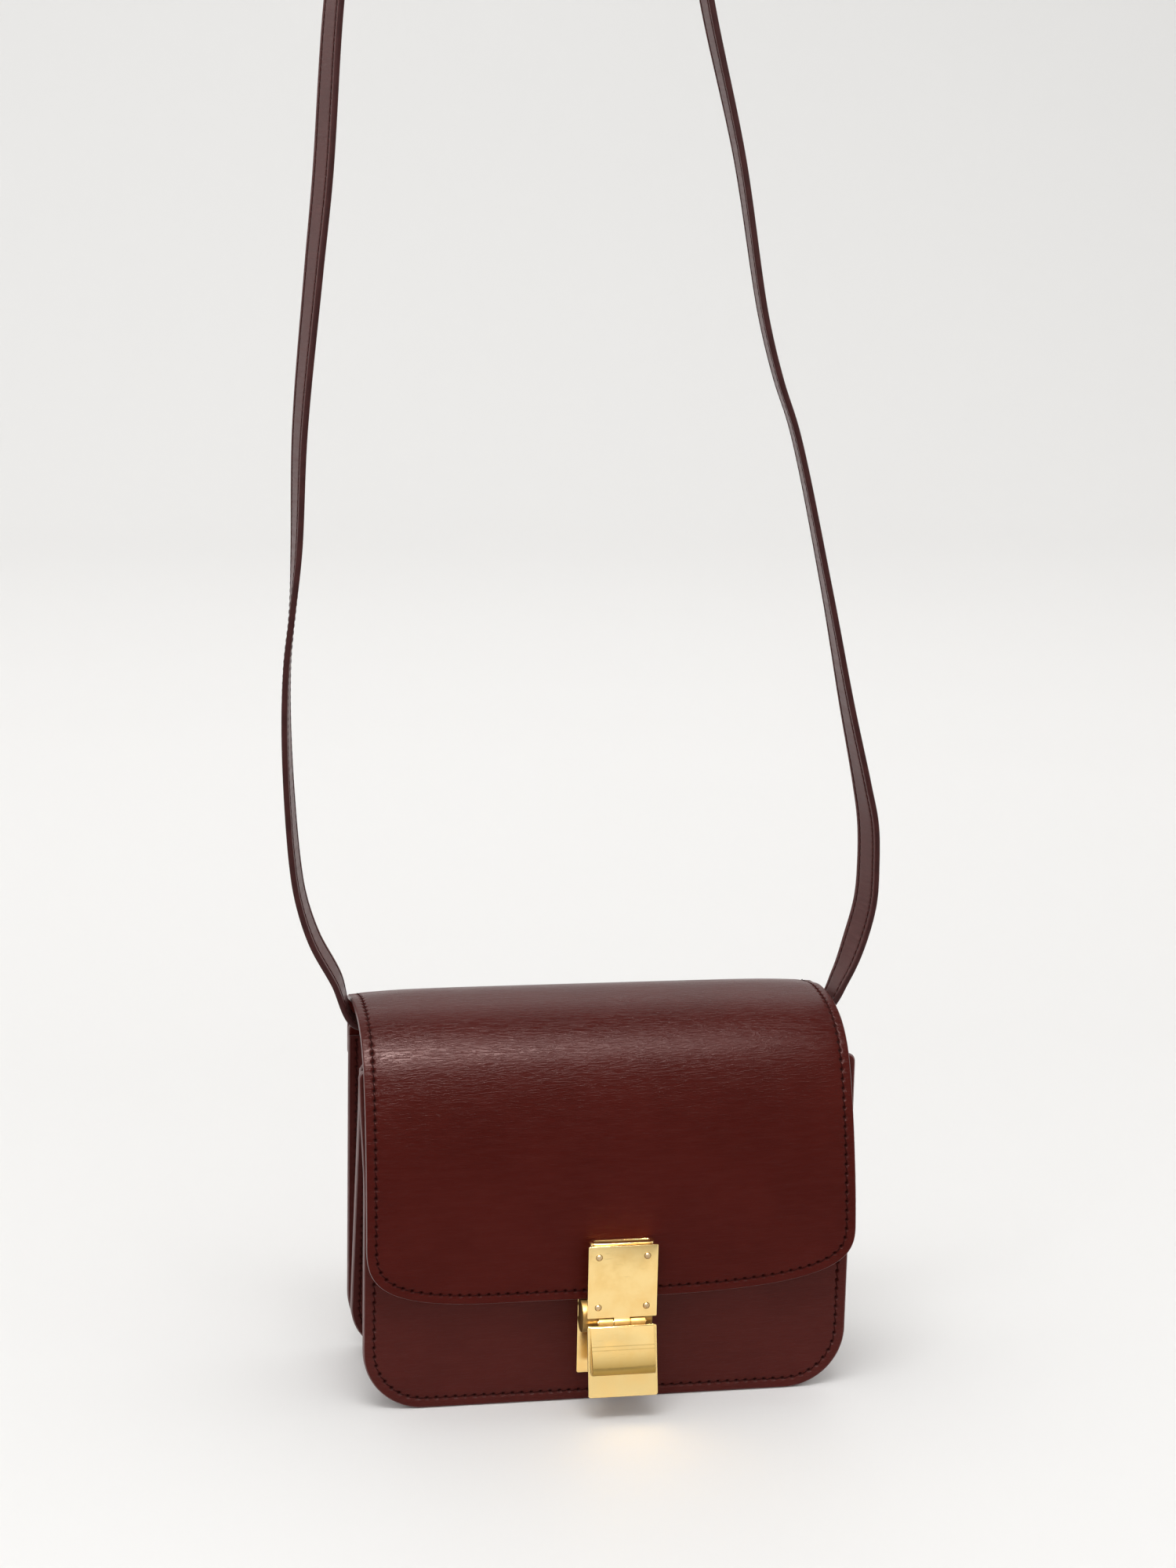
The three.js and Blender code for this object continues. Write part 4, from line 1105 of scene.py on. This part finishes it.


# Lever: a plate that leans forward, with a hood that swells out of it and ends in a lip turned back under

# The hood is painted darker and more olive towards its lip: painted shade for the shaded floor it faces; dimming starts
# it near the top, and the worn lines add to it
hood = {
    "width": 23.2, "bulge": 3.1, "sink": 0.3, "bevel": 0.22, "sideStep": 0.07, "endDrop": 0.7,
    "dimming": 0.12, "paintedShadeAndWear": 0.78, "paintedShadeStart": 0.3, "paintedShadeEnd": 0.69,
}
hoodRows = (  # share of the lever's length, share of the bulge
    (0.06, 0), (0.16, 0.22), (0.28, 0.5), (0.4, 0.77), (0.52, 0.96), (0.6, 1), (0.66, 0.93), (0.69, 0.72),
    (0.695, 0.3), (0.702, 0.0), (1.0, 0.0),
)
hoodMarks = ((0.31, 0.006, 0.4), (0.36, 0.005, 0.3))  # worn lines across it: share of length, half width, depth
hoodLine = curveThrough([(drop * 100, bulge * 10) for drop, bulge in hoodRows], 12) / [100, 10]
leverCut = {
    **panelCut, "wall": 1.2, "edgeRadius": 0.22, "seamInset": 0, "seamSides": (), "deepInset": 0.7,
    "fillStep": 0.3, "spacing": 0.3,
}


def leverPlace(flat, lift):
    lean = math.radians(-clasp["leverLean"])
    y = clasp["leverBack"] - clasp["leverWall"] / 2 - lift
    z = flat[:, 1]
    turned = np.stack([flat[:, 0] + clasp["plateShift"],
                       hingeY + y * math.cos(lean) - z * math.sin(lean),
                       hingeZ + y * math.sin(lean) + z * math.cos(lean)], 1)
    return turned, np.tile([0, -1, 0], (len(flat), 1))


def makeHood():
    drop, swell = hoodLine[:, 0], np.maximum(hoodLine[:, 1], 0) * hood["bulge"]
    keep = drop <= hood["endDrop"] + 0.003
    length, half, bevel = clasp["leverLength"], hood["width"] / 2, hood["bevel"]
    profile = np.vstack([np.stack([-drop[keep] * length, swell[keep]], 1),
                         [[-hood["endDrop"] * length, -hood["sink"]], [-hoodLine[0, 0] * length, -hood["sink"]]]])
    middle, raised = profile.mean(0), profile[:, 1] > 0
    rings = []
    for x, shrink in [(-half, 1.0), (-half + hood["sideStep"], 0.4), (-half + bevel, 0.0),
                      (half - bevel, 0.0), (half - hood["sideStep"], 0.4), (half, 1.0)]:
        inner = profile.copy()
        inner[raised, 1] = np.maximum(0, profile[raised, 1] - bevel * shrink)
        inner[:, 0] += np.sign(middle[0] - profile[:, 0]) * bevel * 0.4 * shrink
        flat = np.stack([np.full(len(inner), x), inner[:, 0]], 1)
        rings.append(leverPlace(flat, clasp["leverWall"] / 2 + inner[:, 1])[0])
    shell = loft("leverHoodShell", rings, [paleBrass])
    drops = -np.tile(profile[:, 0], len(rings)) / length
    start, end = hood["paintedShadeStart"], hood["paintedShadeEnd"]
    # painted shade growing darker towards the lip, plus the worn lines
    paintedShadeAndWear = hood["dimming"] * eased(drops / start) + hood["paintedShadeAndWear"] * eased((drops - start) / (end - start))
    for at, reach, depth in hoodMarks:
        paintedShadeAndWear += depth * (np.abs(drops - at) < reach)
    shell.data.attributes.new("paintedShadeAndWearMark", "FLOAT", "POINT").data.foreach_set("value", paintedShadeAndWear.astype(np.float32))
    return shell


def makeLever():
    half = clasp["plateWidth"] / 2
    flat = roundedRect(-half, half, -clasp["leverLength"], -clasp["leverStart"], clasp["leverCorner"], 9)
    outline = spaced(np.vstack([flat, flat[:1]]), leverCut["spacing"])[:-1]
    face, _ = cutLeather("leverFace", outline, len(outline), leverPlace, leverCut, [paleBrass, paleBrass])
    parts = [face, makeHood()]
    for side in (-1, 1):
        ends = [clasp["plateShift"] + v
                for v in sorted((side * (knuckleSplit + clasp["metalFit"] * 2), side * knuckleHalf))]
        parts.append(bevelRod("leverKnuckle", clasp["knuckleRadius"], ends, hingeY, hingeZ, clasp["rodBevel"]))
        parts.append(bevelPlate("leverWeb", ends, (hingeY - clasp["webFront"], hingeY + clasp["webBack"]),
                                (hingeZ - clasp["webDrop"], hingeZ), clasp["webCorner"], clasp["webBevel"]))
    return joined("leverHood", parts)


rideAs(makePlate(), "bag", "pale_brass", "flap_plate")
rideAs(makeBody(), "bag", "pale_brass", "clasp_body")
rideAs(makeCatch(), "bag", "pale_brass", "catch_base")
pinEnds = eitherSide(knuckleHalf + clasp["pinEnd"])
pin = bevelRod("hingePin", clasp["pinRadius"], pinEnds, hingeY, hingeZ, clasp["rodBevel"], paleBrass, sides=24)
rideAs(pin, "bag", "pale_brass", "hinge_pin")
rideAs(makeLever(), "lever", "pale_brass", "lever")
rivetSizes = {"Head Radius": clasp["rivetHead"] * millimetre, "Dome Height": clasp["rivetDome"] * millimetre,
              "Metal": rivetBrass}
rivets = grown("rivetHeads", makeRivetTree(), rivetSizes, [(x, plateFront, z) for x, z in rivetSpots()])
rideAs(rivets, "bag", "rivet_metal", "rivet_1", "rivet_2", "rivet_3", "rivet_4")
print("clasp done")


# Studio: a pale sweep, soft light from above and a little from the front

studio = {
    "floorZ": -0.63175, "floorFront": -4.0, "floorHalf": 6.4, "sweepStart": 2.4, "sweepRadius": 1.2, "sweepTop": 4.5,
    "paper": (0.87, 0.868, 0.862), "cloudScale": 1.5, "cloudShade": 0.985, "paperRough": 0.6, "paperShine": 0.15,
    "paperFrontEnd": (-0.5, -0.3), "unlit": (0.06, 0.06, 0.06),
    "glow": 1.1, "glowTint": (1.0, 0.86, 0.84), "backGlow": (0.2, 1.6),
    "airTint": (1.0, 0.99, 0.975), "airLow": 0.41, "airHigh": 0.7,
    "mirrorFront": 1.05, "mirrorBehind": 4.8, "mirrorTurn": (0.2, 0.95), "mirrorHigh": 0.1, "mirrorEdge": (0.42, 0.8),
}
softBoxes = {  # place, aim, width, height, watts, what doesn't see it
    "wallBox": ((0.1, 0.5, 1.5), (0.1, 3.6, 1.3), 2.0, 1.0, 16.0, "visible_glossy"),
    "highBox": ((-0.25, -0.85, 1.5), (0.03, 0, -0.5), 1.3, 0.6, 15.0, "visible_glossy"),
    "sheenBox": ((-0.3, -0.86, 1.5), (0.03, 0, -0.5), 1.3, 0.52, 215.0, "visible_diffuse"),
}


# In the metal and the leather the paper ends just before the bag and glows far behind it
def makePaper():
    paper, tree, shader, place = newMaterial("paper")
    clouds = scaledNoise(tree, place["Object"], studio["cloudScale"], detail=2.0)
    whole = colourMix(tree, clouds, studio["paper"], tuple(studio["cloudShade"] * c for c in studio["paper"]))
    parts = addNode(tree, "ShaderNodeSeparateXYZ", {0: place["Object"]}).outputs
    glossy = tree.nodes.new("ShaderNodeLightPath").outputs["Is Glossy Ray"]
    lit = ramp(tree, parts["Y"], *studio["paperFrontEnd"])
    away = mathNode(tree, "MULTIPLY", glossy, mathNode(tree, "SUBTRACT", 1.0, lit))
    tall = mathNode(tree, "MULTIPLY", glossy, ramp(tree, parts["Z"], *studio["backGlow"]))
    feedAll(tree, shader, {
        "Base Color": colourMix(tree, away, whole, studio["unlit"]), "Emission Color": studio["glowTint"],
        "Emission Strength": mathNode(tree, "MULTIPLY", tall, studio["glow"]),
        "Roughness": studio["paperRough"], "Specular IOR Level": studio["paperShine"],
    })
    return paper


def makeStudio():
    floor, start, r = studio["floorZ"], studio["sweepStart"], studio["sweepRadius"]
    path = [(studio["floorFront"], floor), (start, floor)]
    path += [(start + r * math.sin(t), floor + r - r * math.cos(t)) for t in np.linspace(0.05, math.pi / 2, 24)]
    path.append((start + r, studio["sweepTop"]))
    points = [(side * studio["floorHalf"], y, z) for y, z in path for side in (-1, 1)]
    faces = [[2 * i, 2 * i + 1, 2 * i + 3, 2 * i + 2] for i in range(len(path) - 1)]
    mesh = bpy.data.meshes.new("paperSweep")
    mesh.from_pydata(points, [], faces)
    mesh.polygons.foreach_set("use_smooth", np.ones(len(faces), bool))
    mesh.materials.append(makePaper())
    placed("paperSweep", mesh)


def hangBox(name, place, aim, width, height, power, blindTo):
    light = bpy.data.lights.new(name, "AREA")
    light.shape = "RECTANGLE"
    light.size, light.size_y = width, height
    light.energy = power
    holder = placed(name, light)
    holder.location = place
    holder.rotation_mode = "QUATERNION"
    holder.rotation_quaternion = (Vector(aim) - Vector(place)).to_track_quat("-Z", "Y")
    setattr(holder, blindTo, False)


# The air lights the matte surfaces evenly, and the shiny ones see a brighter low ring, most of all behind
def makeWorld():
    world = bpy.data.worlds.new("studioAir")
    bpy.context.scene.world = world
    world.use_nodes = True
    tree = world.node_tree
    place = tree.nodes.new("ShaderNodeTexCoord").outputs["Generated"]
    parts = addNode(tree, "ShaderNodeSeparateXYZ", {0: place}).outputs
    overhead = ramp(tree, parts["Z"], *studio["mirrorEdge"])
    behind = ramp(tree, parts["Y"], *studio["mirrorTurn"])
    low = mathNode(tree, "MULTIPLY_ADD", behind, studio["mirrorBehind"] - studio["mirrorFront"], studio["mirrorFront"])
    lowShare = mathNode(tree, "MULTIPLY", low, mathNode(tree, "SUBTRACT", 1.0, overhead))
    above = mathNode(tree, "MAXIMUM", parts["Z"], 0.0)
    shade = addNode(tree, "ShaderNodeMix", {
        0: tree.nodes.new("ShaderNodeLightPath").outputs["Is Glossy Ray"],
        2: mathNode(tree, "MULTIPLY_ADD", above, studio["airHigh"], studio["airLow"]),
        3: mathNode(tree, "MULTIPLY_ADD", overhead, studio["mirrorHigh"], lowShare),
    })
    feedAll(tree, tree.nodes["Background"], {"Color": studio["airTint"], "Strength": shade.outputs[0]})


makeStudio()
makeWorld()
for boxName, boxSetting in softBoxes.items():
    hangBox(boxName, *boxSetting)


# Camera, as solved from the picture's edges

view = {
    "place": (-0.1584, -1.0019, -0.19295), "aim": (0.02043, -0.0485, -0.39994), "roll": 1.252,
    "focalPixels": 3605.06, "longSide": 2000.0, "sensor": 36.0, "clip": (0.02, 50),
}


def makeCamera():
    data = bpy.data.cameras.new("camera")
    data.sensor_width = view["sensor"]
    data.lens = view["focalPixels"] / view["longSide"] * view["sensor"]
    data.clip_start, data.clip_end = view["clip"]
    camera = placed("camera", data)
    place = Vector(view["place"])
    ahead = (Vector(view["aim"]) - place).normalized()
    right = ahead.cross(Vector((0, 0, 1))).normalized()
    up = right.cross(ahead)
    turn = math.radians(view["roll"])
    tiltedRight = right * math.cos(turn) + up * math.sin(turn)
    tiltedUp = up * math.cos(turn) - right * math.sin(turn)
    axes = Matrix((tiltedRight, tiltedUp, -ahead)).transposed()
    camera.matrix_world = Matrix.Translation(place) @ axes.to_4x4()
    bpy.context.scene.camera = camera


makeCamera()
bpy.context.scene.view_settings.view_transform = "Standard"
print("studio done")
